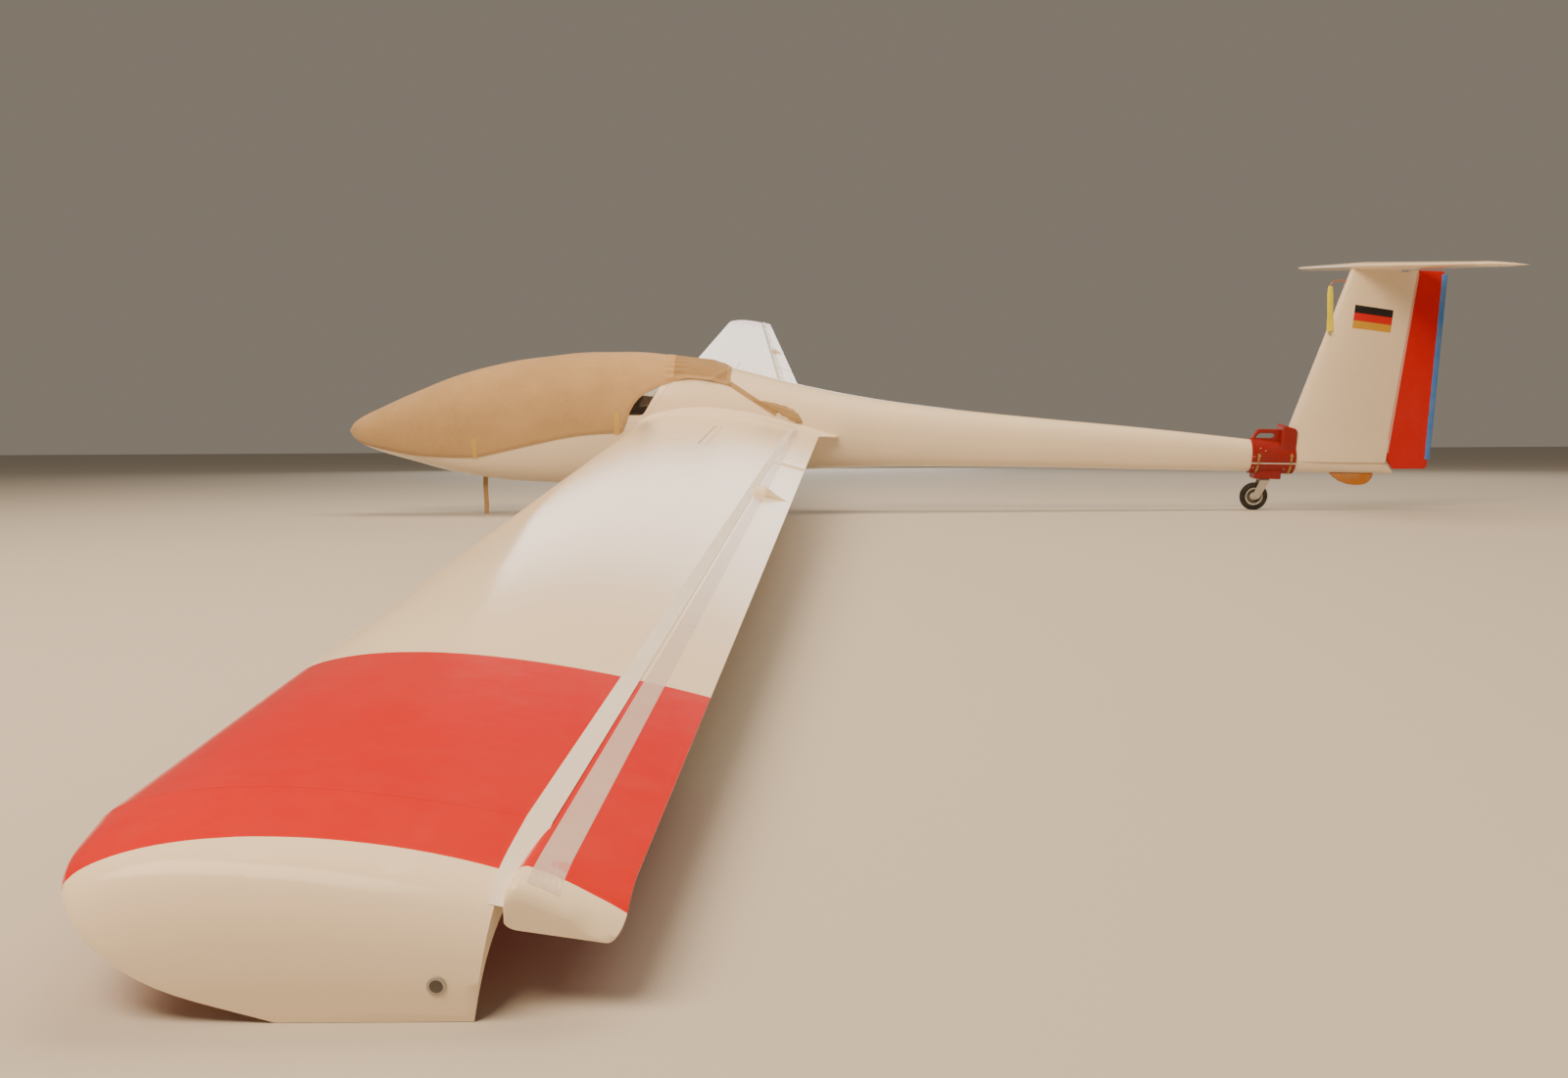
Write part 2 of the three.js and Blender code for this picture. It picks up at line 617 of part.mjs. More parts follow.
// Tail surfaces
const FIN_LEAD = { low: { x: 5887, z: 560 }, high: { x: 6217, z: FIN_TOP_Z } };
const HINGE = { low: { x: 6546, z: 440 }, high: { x: 6637, z: FIN_TOP_Z } };
const RUDDER_TRAIL = { low: { x: 6822, z: 441 }, high: { x: 6806, z: FIN_TOP_Z } };
const along = (line, z) => line.low.x + (line.high.x - line.low.x) * (z - line.low.z) / (line.high.z - line.low.z);
const finHalf = (z) => 34 - 14 * (z - 450) / (FIN_TOP_Z - 450);
const FIN_CREST_Z = 1676;

// Fin ring at height z: a symmetrical section cut off ahead of the rudder's nose.
function finRing(z) {
  const front = along(FIN_LEAD, z);
  const rear = along(HINGE, z) - finHalf(z) - MOVING_GAP;
  const chord = (rear - front) / 0.66;
  const steps = 7;
  const xs = Array.from({ length: steps }, (_, i) => front + (rear - front) * (i / (steps - 1)) ** 1.8);
  const half = (x) => Math.max(aerofoil((x - front) / chord, 0.13, 0).top * chord, 0.5);
  const right = xs.map((x) => v3(x, half(x), z));
  const left = xs.slice(1).reverse().map((x) => v3(x, -half(x), z));
  return [...right, ...left];
}

// Fin: its crest fits under the tailplane and steps down aft, clear of the elevator.
function fin() {
  const body = solid(loft([430, 700, 1100, FIN_CREST_Z].map(finRing)));
  const underTail = solid(loft([-TAIL_HALF_SPAN, 0, TAIL_HALF_SPAN].map((y) =>
    tail.ring(y, 8).map((p) => v3(p.x, p.y, p.z + Math.sign(p.z - TAILPLANE_Z) * SEAT_GAP)))));
  const step = outline([[6500, 1720], [6520, 1646], [6660, 1634], [6700, 1720]], -WIDE, WIDE);
  const nose = outline([[6100, 1800], [6100, 1672], [6300, 1672], [6300, 1800]], -WIDE, WIDE);
  return body
    .subtract(fuselageSolid(5600, 6597, SEAT_GAP))
    .subtract(solid(box(5500, 7000, -WIDE, WIDE, 300, 470)))
    .subtract(underTail)
    .subtract(nose)
    .subtract(step)
    .add(rudderHinges().map((hinge) => hinge.lug).reduce((a, b) => a.add(b)));
}

function rudderHinges() {
  const point = (z) => v3(along(HINGE, z), 0, z);
  const direction = point(1600).sub(point(600)).normalize();
  return [640, 1480].map((z) => hingeAt(point(z), direction, finHalf(z) + MOVING_GAP + 8));
}

// Rudder ring at height z: a round nose on the hinge line, tapering to the trailing edge.
function rudderRing(z) {
  const x0 = along(HINGE, z);
  const radius = finHalf(z);
  const end = along(RUDDER_TRAIL, z);
  const nose = Array.from({ length: 7 }, (_, i) => {
    const angle = Math.PI / 2 + Math.PI * i / 6;
    return v3(x0 + radius * Math.cos(angle), radius * Math.sin(angle), z);
  });
  return [...nose, v3(end, -2, z), v3(end, 2, z)];
}

function rudder() {
  const body = solid(loft([430, RUDDER_TOP_Z].map(rudderRing)));
  const heel = outline([[6400, 380], [6400, 560], [6500, 560], [6604, 424], [6604, 380]], -WIDE, WIDE);
  return withPins(body.subtract(heel), rudderHinges());
}

function rudderGuard() {
  const ring = (z) => {
    const x = along(RUDDER_TRAIL, z);
    return [v3(x - 22, 8, z), v3(x + 16, 8, z), v3(x + 16, -8, z), v3(x - 22, -8, z)];
  };
  const sleeve = solid(loft([ring(490), ring(1625)]));
  return sleeve.subtract(solid(loft([480, 1640].map((z) => rudderRing(z).map((p) => v3(p.x + SEAT_GAP, p.y * 1.12, z))))));
}

const tail = surface(
  { lead: 6205, trail: 6700, height: TAILPLANE_Z, thick: 0.105 }, 0,
  { lead: 6362, trail: 6648, height: TAILPLANE_Z, thick: 0.1 }, TAIL_HALF_SPAN,
);
const tailHinge = () => 6562;
const elevatorHinges = () => [-1050, -350, 350, 1050].map((y) =>
  hingeAt(v3(tailHinge(), y, TAILPLANE_Z), v3(0, 1, 0), tailHinge() - tailPocket(y) + 4));
const tailPocket = (y) => {
  const at = tail.skin(tailHinge(y), y);
  return tailHinge(y) - (at.top - at.bottom) / 2 - MOVING_GAP;
};

function tailplane() {
  const tip = { y: TAIL_HALF_SPAN };
  const rings = [-tip.y, 0, tip.y].map((y) => tail.ring(y, 8));
  const pocket = planPrism([
    [tailPocket(tip.y), -1400], [tailPocket(0), 0], [tailPocket(tip.y), 1400], [7000, 1400], [7000, -1400],
  ], 1500, 1900);
  return withLugs(solid(loft(rings)).subtract(solid(pocket)), elevatorHinges());
}

// Elevator in one piece, with a notch over the rudder.
function elevator() {
  const tipY = TAIL_HALF_SPAN - 2;
  const rings = [-tipY, 0, tipY].map((y) => tail.flapRing(y, tailHinge(y), 5, 2));
  const notch = planPrism([[6585, -60], [6585, 60], [6800, 150], [6800, -150]], 1500, 1900);
  return withPins(solid(loft(rings)).subtract(solid(notch)), elevatorHinges());
}

function finProbe() {
  const path = new THREE.CatmullRomCurve3([v3(6225, 0, 1588), v3(6160, 0, 1592), v3(6118, 0, 1584), v3(6103, 0, 1560)]);
  const shape = new THREE.Shape().absarc(0, 0, 5, 0, 2 * Math.PI);
  const tube = new THREE.ExtrudeGeometry(shape, { steps: 8, curveSegments: 4, extrudePath: path, bevelEnabled: false });
  return solid(tube).subtract(solid(loft([1400, 1652].map((z) => finRing(z).map((p) => v3(p.x - SEAT_GAP, p.y, z))))));
}

// Cloth sleeve slipped over the probe, hanging plumb beside the fin's leading edge.
function probeCover() {
  const ring = (x, y, z) => [v3(x - 17, y - 6, z), v3(x + 17, y - 6, z), v3(x + 17, y + 6, z), v3(x - 17, y + 6, z)];
  return loft([ring(6112, -36, 1284), ring(6103, -1, 1557.2)]);
}

function tailSkid() {
  return sidePrism([[6205, 392.6], [6480, 392.6], [6435, 320], [6270, 320]], -24, 24);
}

// Main wheel and its carrier
const mainAxleZ = axleHeight(MAIN_WHEEL);
const dollyAxleZ = axleHeight(DOLLY_WHEEL);

// Tyre with a rounded crown, pressed flat where it stands.
function tyre(wheel, z) {
  const { radius, halfWidth, rim, section, steps } = wheel;
  const wall = (rim + radius) / 2;
  const crown = radius - section * 0.015;
  const free = wheelTurned([
    [rim, -halfWidth * 0.6], [wall, -halfWidth], [radius - section * 0.42, -halfWidth * 0.84],
    [radius - section * 0.1, -halfWidth * 0.45], [crown, -halfWidth * 0.25],
    [crown, halfWidth * 0.25], [radius - section * 0.1, halfWidth * 0.45], [radius - section * 0.42, halfWidth * 0.84],
    [wall, halfWidth], [rim, halfWidth * 0.6], [rim, -halfWidth * 0.6],
  ], steps, wheel.x, z);
  const reach = 2 * radius;
  const corners = [[-reach, -reach], [reach, -reach], [reach, reach], [-reach, reach]].map(([dx, y]) => [wheel.x + dx, y]);
  const floor = (drop) => corners.map(([x, y]) => v3(x, y, floorHeight(x, y) - drop));
  return solid(free).subtract(solid(loft([floor(100), floor(0)])));
}

function hub(wheel, z, bore) {
  const { rim, halfWidth, steps } = wheel;
  const outer = rim - SEAT_GAP;
  return wheelTurned([
    [bore, -halfWidth * 0.7], [bore + 14, -halfWidth * 0.7], [bore + 18, -halfWidth * 0.25],
    [outer - 10, -halfWidth * 0.25], [outer - 8, -halfWidth * 0.58], [outer, -halfWidth * 0.58],
    [outer, halfWidth * 0.58], [outer - 8, halfWidth * 0.58], [outer - 10, halfWidth * 0.25],
    [bore + 18, halfWidth * 0.25], [bore + 14, halfWidth * 0.7], [bore, halfWidth * 0.7], [bore, -halfWidth * 0.7],
  ], steps, wheel.x, z);
}

function axle(x, z, radius, halfLength) {
  const geometry = new THREE.CylinderGeometry(radius, radius, 2 * halfLength, 12);
  return geometry.translate(x, 0, z);
}

// Fork of two leg plates and a cross tube, fixed in the wheel well.
function gearFork() {
  const plate = (side) => {
    const y = side * 73;
    const inner = Math.min(y, y - side * 6);
    return solid(sidePrism([
      [1975, mainAxleZ - 22], [2025, mainAxleZ - 22], [2032, mainAxleZ + 30], [1900, 465], [1860, 465], [1962, mainAxleZ],
    ], inner, inner + 6));
  };
  const bore = solid(axle(MAIN_WHEEL.x, mainAxleZ, 12 + SEAT_GAP, 200));
  const cross = solid(box(1858, 1902, -81.6, 81.6, 440, 470));
  return plate(1).add(plate(-1)).add(cross).subtract(bore);
}

// Wheel door, hinged on the well's edge and hanging open.
function gearDoor(side) {
  const y0 = side * (WHEEL_WELL.halfWidth + 26);
  const y1 = side * (WHEEL_WELL.halfWidth + 31);
  const top = 262;
  const ring = (y) => [v3(1790, y, top), v3(2210, y, top), v3(2190, y, top - 92), v3(1830, y, top - 92)];
  return solid(loft([ring(y0), ring(y1)])).subtract(fuselageSolid(1500, 2500, SEAT_GAP));
}

function towHook() {
  const plate = solid(box(1600, 1690, -20, 20, 222, 300));
  return plate.subtract(fuselageSolid(1400, 1900, SEAT_GAP));
}

// Cockpit furniture, each shaped to the inside of the shell
function insideCockpit(piece) {
  return piece.intersect(fuselageSolid(185, 1695, -SHELL_WALL - SEAT_GAP));
}

function seatShell() {
  return outline(SEAT_OUTLINE, -210, 210).intersect(fuselageSolid(900, 1900, -SHELL_WALL - SEAT_GAP));
}

function panel() {
  const pedestal = solid(box(930, 1000, -70, 70, 200, 560));
  const face = solid(sidePrism([[940, 540], [1010, 540], [970, 740], [900, 740]], -165, 165));
  return insideCockpit(pedestal.add(face));
}

function stick() {
  const tube = new THREE.CylinderGeometry(9, 9, 210, 10).rotateX(Math.PI / 2).translate(1150, 0, 0);
  const grip = new THREE.CylinderGeometry(17, 15, 105, 10).rotateX(Math.PI / 2).translate(1150, 0, 130);
  return solid(tube).add(solid(grip)).translate([0, 0, STICK_FOOT_Z + 105]);
}

// Tail dolly: a split clamp of two shells round the boom, with a castor below
const DOLLY = { x0: 5683, x1: 5962, split: 455, wall: 12, plateZ: 350 };

function dollyShell() {
  return fuselageSolid(5600, 6050, DOLLY.wall).subtract(fuselageSolid(5590, 6060, SEAT_GAP));
}

function dollyUpper() {
  const half = dollyShell().intersect(solid(box(DOLLY.x0, DOLLY.x1, -WIDE, WIDE, DOLLY.split + 5, 900)));
  const hood = outline([[5863, 580], [5870, 694], [5950, 672], [DOLLY.x1, 655], [DOLLY.x1, 500], [5863, 500]], -62, 62);
  const finSpace = solid(loft([440, 800].map((z) => finRing(z).map((p) => v3(p.x - 4, p.y * 1.04 + Math.sign(p.y) * 1.2, z)))));
  const handle = outline([[5690, 585], [5712, 640], [5740, 662], [5866, 662], [5866, 585]], -14, 14)
    .subtract(outline([[5716, 604], [5742, 636], [5836, 636], [5818, 604]], -40, 40));
  return half
    .add(hood.subtract(fuselageSolid(5590, 6060, SEAT_GAP)))
    .add(handle.subtract(fuselageSolid(5590, 6060, SEAT_GAP)))
    .subtract(finSpace);
}

function dollyLower() {
  const half = dollyShell().intersect(solid(box(DOLLY.x0 + 2, DOLLY.x1, -WIDE, WIDE, 300, DOLLY.split - 5)));
  const keel = solid(box(5715, 5885, -46, 46, DOLLY.plateZ, 420)).subtract(fuselageSolid(5590, 6060, SEAT_GAP));
  return half.add(keel);
}

// Castor: swivel plate, two fork legs raked to the axle, and the pin through the hub.
function castorFork() {
  const top = DOLLY.plateZ - MOVING_GAP;
  const head = solid(new THREE.CylinderGeometry(30, 30, 12, 16).rotateX(Math.PI / 2).translate(CASTOR_X, 0, top - 6));
  const leg = (side) => {
    const y = side * 31;
    const inner = Math.min(y, y - side * 4);
    return solid(sidePrism([
      [CASTOR_X - 36, top - 2], [CASTOR_X + 26, top - 2], [DOLLY_WHEEL.x + 26, dollyAxleZ - 10],
      [DOLLY_WHEEL.x, dollyAxleZ - 18], [DOLLY_WHEEL.x - 20, dollyAxleZ - 4],
    ], inner, inner + 4));
  };
  const bridge = solid(box(CASTOR_X - 34, CASTOR_X + 24, -31, 31, top - 9, top));
  const pin = solid(axle(DOLLY_WHEEL.x, dollyAxleZ, 6, 34));
  return head.add(bridge).add(leg(1)).add(leg(-1)).add(pin);
}

function castorStem() {
  const stem = new THREE.CylinderGeometry(10, 10, MOVING_GAP - 2 * SEAT_GAP, 12).rotateX(Math.PI / 2);
  return stem.translate(CASTOR_X, 0, DOLLY.plateZ - MOVING_GAP / 2);
}

// Assembly
const glider = new THREE.Group();
const attitude = new THREE.Group();
attitude.rotation.y = ATTITUDE;
const bank = new THREE.Group();
bank.rotation.x = BANK;
bank.add(attitude);
glider.add(bank);

function addPiece(name, shape, finish) {
  const geometry = shape.isBufferGeometry ? shape : toGeometry(shape);
  const mesh = new THREE.Mesh(geometry, finish);
  mesh.name = name;
  attitude.add(mesh);
  return mesh;
}

function mirrored(shape) {
  const geometry = (shape.isBufferGeometry ? shape : toGeometry(shape)).clone();
  geometry.scale(1, -1, 1);
  return facingOut(geometry);
}

function addPair(name, shape, finish) {
  addPiece(`${name}_left`, shape, finish());
  addPiece(`${name}_right`, mirrored(shape), finish());
}

addPiece('fuselage_pod', hollowPod(), gelcoat());
addPiece('tail_boom', hollowBoom(), gelcoat());
addPiece('root_fairing_left', rootFairing(-1), gelcoat());
addPiece('root_fairing_right', rootFairing(1), gelcoat());
addPair('wing', wingPanel(), gelcoat);
addPair('wing_tip', wingTip(), gelcoat);
addPair('aileron', aileron(), gelcoat);
addPair('flap', flap(), gelcoat);
addPair('airbrake', brakeBlade(), gelcoat);
addPiece('fin', fin(), gelcoat());
addPiece('rudder', rudder(), redPaint());
addPiece('rudder_guard', rudderGuard(), material(0x2f78b4, 0.6));
addPiece('tailplane', tailplane(), gelcoat());
addPiece('elevator', elevator(), gelcoat());
addPiece('fin_probe', finProbe(), steel());
addPiece('probe_cover', probeCover(), material(0xe8c800, 0.7));
addPiece('tail_skid', tailSkid(), material(0xc97a10, 0.5));
addPiece('canopy_frame', canopyFrame(), gelcoat());
addPiece('canopy_glass', canopyGlass(), material(0x35302a, 0.05));
addPiece('canopy_cover', coverSolid(), canvas());
addPiece('belly_strap', bellyStrap(), webbing());
addPair('aft_strap', aftStrap(), webbing);
addPiece('seat_shell', seatShell(), darkTrim());
addPiece('headrest', box(1752, 1812, -80, 80, HEADREST_FOOT_Z, 885), webbing());
addPiece('instrument_panel', panel(), darkTrim());
addPiece('control_stick', stick(), darkTrim());
addPiece('main_tyre', tyre(MAIN_WHEEL, mainAxleZ), rubber());
addPiece('main_hub', hub(MAIN_WHEEL, mainAxleZ, 12 + SEAT_GAP), steel());
addPiece('main_axle', axle(MAIN_WHEEL.x, mainAxleZ, 12, 79), steel());
addPiece('gear_fork', gearFork(), steel());
addPiece('gear_door_left', gearDoor(-1), gelcoat());
addPiece('gear_door_right', gearDoor(1), gelcoat());
addPiece('tow_hook', towHook(), steel());
addPiece('dolly_upper', dollyUpper(), dollyRed());
addPiece('dolly_lower', dollyLower(), dollyRed());
addPiece('dolly_stem', castorStem(), steel());
addPiece('dolly_fork', castorFork(), steel());
addPiece('dolly_tyre', tyre(DOLLY_WHEEL, dollyAxleZ), rubber());
addPiece('dolly_hub', hub(DOLLY_WHEEL, dollyAxleZ, 6 + SEAT_GAP), material(0xd8d4c8, 0.5));

// Origin at the middle of the lowest plane of the whole glider
glider.updateMatrixWorld(true);
const bounds = new THREE.Box3().setFromObject(glider, true);
bank.position.set(-(bounds.min.x + bounds.max.x) / 2, -(bounds.min.y + bounds.max.y) / 2, -bounds.min.z);
glider.updateMatrixWorld(true);

export default glider;
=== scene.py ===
"""Dresses the parked 15 metre sailplane: skins, paint, seals, cloth cover, wheels and tail dolly.

Lengths are millimetres in the glider's level axes (x aft from the nose, y to starboard, z up) until
LevelAxes.place turns them into the frame's metres.
"""

import json
import logging
import math
from dataclasses import dataclass
from enum import Enum
from functools import partial
from typing import Callable, Optional, Sequence

import bmesh
import bpy
import numpy as np
from mathutils import Matrix, Vector


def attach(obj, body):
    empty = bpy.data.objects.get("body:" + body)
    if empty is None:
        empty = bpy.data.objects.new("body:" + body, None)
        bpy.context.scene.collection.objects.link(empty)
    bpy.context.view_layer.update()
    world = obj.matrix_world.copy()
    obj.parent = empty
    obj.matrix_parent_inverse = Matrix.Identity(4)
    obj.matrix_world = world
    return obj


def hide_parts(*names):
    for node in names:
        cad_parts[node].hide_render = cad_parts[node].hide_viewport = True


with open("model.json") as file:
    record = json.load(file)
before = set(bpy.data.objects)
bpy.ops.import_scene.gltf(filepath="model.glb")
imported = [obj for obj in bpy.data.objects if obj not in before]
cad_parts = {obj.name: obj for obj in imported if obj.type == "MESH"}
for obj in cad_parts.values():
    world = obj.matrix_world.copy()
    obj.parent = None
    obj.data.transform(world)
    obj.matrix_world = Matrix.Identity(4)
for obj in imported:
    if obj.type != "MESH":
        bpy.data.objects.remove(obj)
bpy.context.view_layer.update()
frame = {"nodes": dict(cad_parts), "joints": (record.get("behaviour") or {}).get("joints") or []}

LOG = logging.getLogger("sailplane")
JOINTS = {joint["name"]: joint for joint in frame["joints"]}

Points = np.ndarray
Piece = bpy.types.Object
Socket = bpy.types.NodeSocket
Colour = tuple[float, float, float]


class Body(str, Enum):
    """Moving bodies of the glider that have one name for both sides."""

    AIRFRAME = "airframe"
    RUDDER = "rudder"
    ELEVATOR = "elevator"
    MAIN_WHEEL = "main_wheel"
    DOLLY_WHEEL = "dolly_wheel"


class Side(Enum):
    """Port or starboard, with the sign of y."""

    LEFT = -1
    RIGHT = 1

    @property
    def word(self) -> str:
        """Lower-case name used in node and body names."""
        return self.name.lower()


class Skin(Enum):
    """Upper or lower skin, with the sign of its outward direction."""

    UPPER = 1
    LOWER = -1

    def pick(self, pair: Sequence) -> object:
        """This skin's member of an (upper, lower) pair."""
        return pair[0] if self is Skin.UPPER else pair[1]


class Slot(str, Enum):
    """Material slots of the record."""

    GELCOAT = "gelcoat"
    RED = "red_paint"
    GUARD = "guard_blue"
    DOLLY = "dolly_red"
    CANVAS = "canvas"
    SLEEVE = "sleeve_yellow"
    SKID = "skid_orange"
    GLASS = "canopy_glass"
    TRIM = "trim_dark"
    SEAT = "seat_fabric"
    STEEL = "steel"
    TYRE = "tyre"
    WHEEL = "wheel_pale"


# Points, curves and the frame of the glider


def stack(*parts: Points | float) -> Points:
    """Coordinates side by side on a new last axis, with numbers spread over the arrays."""
    return np.stack(np.broadcast_arrays(*parts), axis=-1)


def circle(count: int) -> Points:
    """Angles spaced evenly round a circle."""
    return np.arange(count) * 2 * math.pi / count


def arc(middle: Sequence[float], radius: float, first: float, last: float, count: int) -> Points:
    """Points of an arc in two coordinates, between two angles."""
    angle = np.linspace(first, last, count)
    return np.array(middle) + radius * stack(np.cos(angle), np.sin(angle))


def unit(vectors: Points) -> Points:
    """Vectors of the last axis at length 1."""
    return vectors / np.linalg.norm(vectors, axis=-1, keepdims=True)


def signed_power(value: Points, power: Points | float) -> Points:
    """A power of the size of a value, with the value's sign."""
    return np.sign(value) * np.abs(value) ** power


def ease(t: Points | float) -> Points:
    """Smooth step from 0 to 1."""
    t = np.clip(t, 0, 1)
    return t * t * (3 - 2 * t)


def hermite(keys: Points, values: Points, at: Points) -> Points:
    """Smooth curve through table rows.

    Args:
        keys: increasing keys, shape (n,).
        values: columns at the keys, shape (n, k).
        at: keys to read at, shape (m,).

    Returns:
        The columns there, shape (m, k).
    """
    keys, values, at = (np.asarray(part, float) for part in (keys, values, np.atleast_1d(at)))
    step = np.diff(keys)
    slope = np.diff(values, axis=0) / step[:, None]
    mix = (step[:-1] / (step[:-1] + step[1:]))[:, None]
    tangent = np.concatenate([slope[:1], slope[:-1] * (1 - mix) + slope[1:] * mix, slope[-1:]])
    i = np.clip(np.searchsorted(keys, at, side="right") - 1, 0, len(keys) - 2)
    h = step[i][:, None]
    t = ((at - keys[i]) / step[i])[:, None]
    return (
        (2 * t**3 - 3 * t**2 + 1) * values[i] + (t**3 - 2 * t**2 + t) * h * tangent[i]
        + (3 * t**2 - 2 * t**3) * values[i + 1] + (t**3 - t**2) * h * tangent[i + 1]
    )


@dataclass(frozen=True)
class LevelAxes:
    """The glider's level axes in the frame: the origin in metres, and the rows aft, starboard and up."""

    origin: Points
    turn: Points

    @classmethod
    def from_joints(cls, hinge: Sequence[float]) -> "LevelAxes":
        """Reads the axes off the elevator's hinge and the airbrake's slide.

        Args:
            hinge: the elevator hinge's point in level millimetres.

        Returns:
            The level axes.
        """
        starboard = np.array(JOINTS["elevator_hinge"]["axis"], float)
        up = np.array(JOINTS["airbrake_left_slide"]["axis"], float)
        turn = np.array([np.cross(starboard, up), starboard, up])
        return cls(np.array(JOINTS["elevator_hinge"]["pos_m"], float) - np.array(hinge) @ turn / 1000, turn)

    def place(self, points: Points) -> Points:
        """Level millimetres of any shape (..., 3) as frame metres."""
        return self.origin + np.asarray(points, float) @ self.turn / 1000

    def level(self, points: Points) -> Points:
        """Frame metres as level millimetres."""
        return (np.asarray(points, float) - self.origin) @ self.turn.T * 1000

    def direction(self, shift: Sequence[float]) -> Vector:
        """A level direction as a vector of the frame."""
        return Vector(np.array(shift, float) @ self.turn)

    def floor(self, x: Points | float, y: Points | float) -> Points:
        """Level height of the floor below the points (x, y)."""
        return -self.place(stack(x, y, 0.0))[..., 2] / self.turn[2, 2] * 1000


ELEVATOR_HINGE = (6562.0, 0.0, 1682.0)
AXES = LevelAxes.from_joints(ELEVATOR_HINGE)
FLOOR_GAP = 0.3


# Modelling tools


def deselect() -> None:
    """Leaves edit mode and deselects everything."""
    active = bpy.context.view_layer.objects.active
    if active is not None and active.mode != "OBJECT":
        bpy.ops.object.mode_set(mode="OBJECT")
    bpy.ops.object.select_all(action="DESELECT")


def select(piece: Piece) -> None:
    """Selects one piece alone and makes it active."""
    deselect()
    piece.select_set(True)
    bpy.context.view_layer.objects.active = piece


def started(name: str) -> Piece:
    """Names the primitive that was just added and puts its object at the origin.

    Args:
        name: the piece's name.

    Returns:
        The piece.
    """
    piece = bpy.context.view_layer.objects.active
    piece.name = name
    piece.data.name = name
    piece.location = (0, 0, 0)
    piece.rotation_euler = (0, 0, 0)
    return piece


def vertices(piece: Piece) -> Points:
    """Places of a piece's vertices in metres, shape (n, 3)."""
    at = np.empty(len(piece.data.vertices) * 3)
    piece.data.vertices.foreach_get("co", at)
    return at.reshape(-1, 3)


def set_points(piece: Piece, points: Points) -> None:
    """Moves all vertices of a piece to level points, in vertex order."""
    piece.data.vertices.foreach_set("co", AXES.place(points).astype(np.float32).ravel())
    piece.data.update()


def set_uv(piece: Piece, uv: Points) -> None:
    """Writes one UV per vertex into the piece's UV map.

    Args:
        piece: the piece.
        uv: a UV for each vertex, shape (n, 2).
    """
    mesh = piece.data
    layer = mesh.uv_layers.active or mesh.uv_layers.new(name="UVMap")
    vertex = np.empty(len(mesh.loops), int)
    mesh.loops.foreach_get("vertex_index", vertex)
    layer.data.foreach_set("uv", uv[vertex].astype(np.float32).ravel())


def plan_uv(piece: Piece) -> None:
    """Gives a wing piece a plan view UV map: x and the distance from the middle, in metres."""
    level = AXES.level(vertices(piece)) / 1000
    set_uv(piece, stack(level[:, 0], np.abs(level[:, 1])))


def edit(piece: Piece, step: Callable[[], object]) -> None:
    """Runs an operator on a piece in edit mode with everything selected.

    Args:
        piece: the piece.
        step: calls the operator.
    """
    select(piece)
    bpy.ops.object.mode_set(mode="EDIT")
    bpy.ops.mesh.select_all(action="SELECT")
    step()
    bpy.ops.object.mode_set(mode="OBJECT")


def face_out(piece: Piece) -> None:
    """Turns the faces of a closed piece outwards.

    Args:
        piece: the piece.
    """
    edit(piece, lambda: bpy.ops.mesh.normals_make_consistent(inside=False))
    mesh = bmesh.new()
    mesh.from_mesh(piece.data)
    inverted = mesh.calc_volume(signed=True) < 0
    mesh.free()
    if inverted:
        edit(piece, lambda: bpy.ops.mesh.flip_normals())


def modify(piece: Piece, kind: str, **settings: object) -> None:
    """Adds a modifier with settings and applies it.

    Args:
        piece: the piece to change.
        kind: the modifier's type.
        settings: its properties.
    """
    select(piece)
    modifier = piece.modifiers.new("step", kind)
    for key, value in settings.items():
        setattr(modifier, key, value)
    bpy.ops.object.modifier_apply(modifier="step")


def bevel(piece: Piece, width: float, segments: int = 2, angle: float = 30.0) -> None:
    """Rounds the edges that are sharper than an angle in degrees by a width in millimetres."""
    modify(piece, "BEVEL", width=width / 1000, segments=segments, limit_method="ANGLE",
           angle_limit=math.radians(angle), harden_normals=False)


def combine(piece: Piece, tool: Piece, operation: str = "DIFFERENCE") -> Piece:
    """Cuts, joins or intersects a piece with a tool piece, which is used up.

    Args:
        piece: the piece to change.
        tool: the other piece.
        operation: the boolean's name.

    Returns:
        The changed piece.
    """
    modify(piece, "BOOLEAN", operation=operation, solver="EXACT", object=tool)
    bpy.data.objects.remove(tool)
    return piece


def join(name: str, pieces: Sequence[Piece]) -> Piece:
    """Joins separate pieces into one object.

    Args:
        name: the whole's name.
        pieces: the pieces, used up.

    Returns:
        The whole.
    """
    select(pieces[0])
    for piece in pieces[1:]:
        piece.select_set(True)
    bpy.ops.object.join()
    whole = bpy.context.view_layer.objects.active
    whole.name = name
    return whole


def tube(name: str, rings: Sequence[Points] | Points) -> Piece:
    """Closed body through rings, from a cylinder cut into stations.

    Args:
        name: the piece's name.
        rings: level points, shape (stations, columns, 3).

    Returns:
        The piece.
    """
    rings = np.asarray(rings, float)
    stations, columns = rings.shape[:2]
    deselect()
    bpy.ops.mesh.primitive_cylinder_add(vertices=columns, radius=1, depth=stations - 1, end_fill_type="NGON")
    piece = started(name)
    bpy.ops.object.mode_set(mode="EDIT")
    bpy.ops.mesh.select_mode(type="EDGE")
    bpy.ops.mesh.select_all(action="DESELECT")
    mesh = bmesh.from_edit_mesh(piece.data)
    for edge in mesh.edges:
        edge.select_set(abs(edge.verts[0].co.z - edge.verts[1].co.z) > 0.5)
    bmesh.update_edit_mesh(piece.data)
    if stations > 2:
        bpy.ops.mesh.subdivide(number_cuts=stations - 2)
    bpy.ops.mesh.select_mode(type="VERT")
    bpy.ops.object.mode_set(mode="OBJECT")
    x, y, z = vertices(piece).T
    row = np.rint(z + (stations - 1) / 2).astype(int)
    column = np.rint(np.arctan2(y, x) / (2 * math.pi / columns)).astype(int) % columns
    set_points(piece, rings[row, column])
    face_out(piece)
    return piece


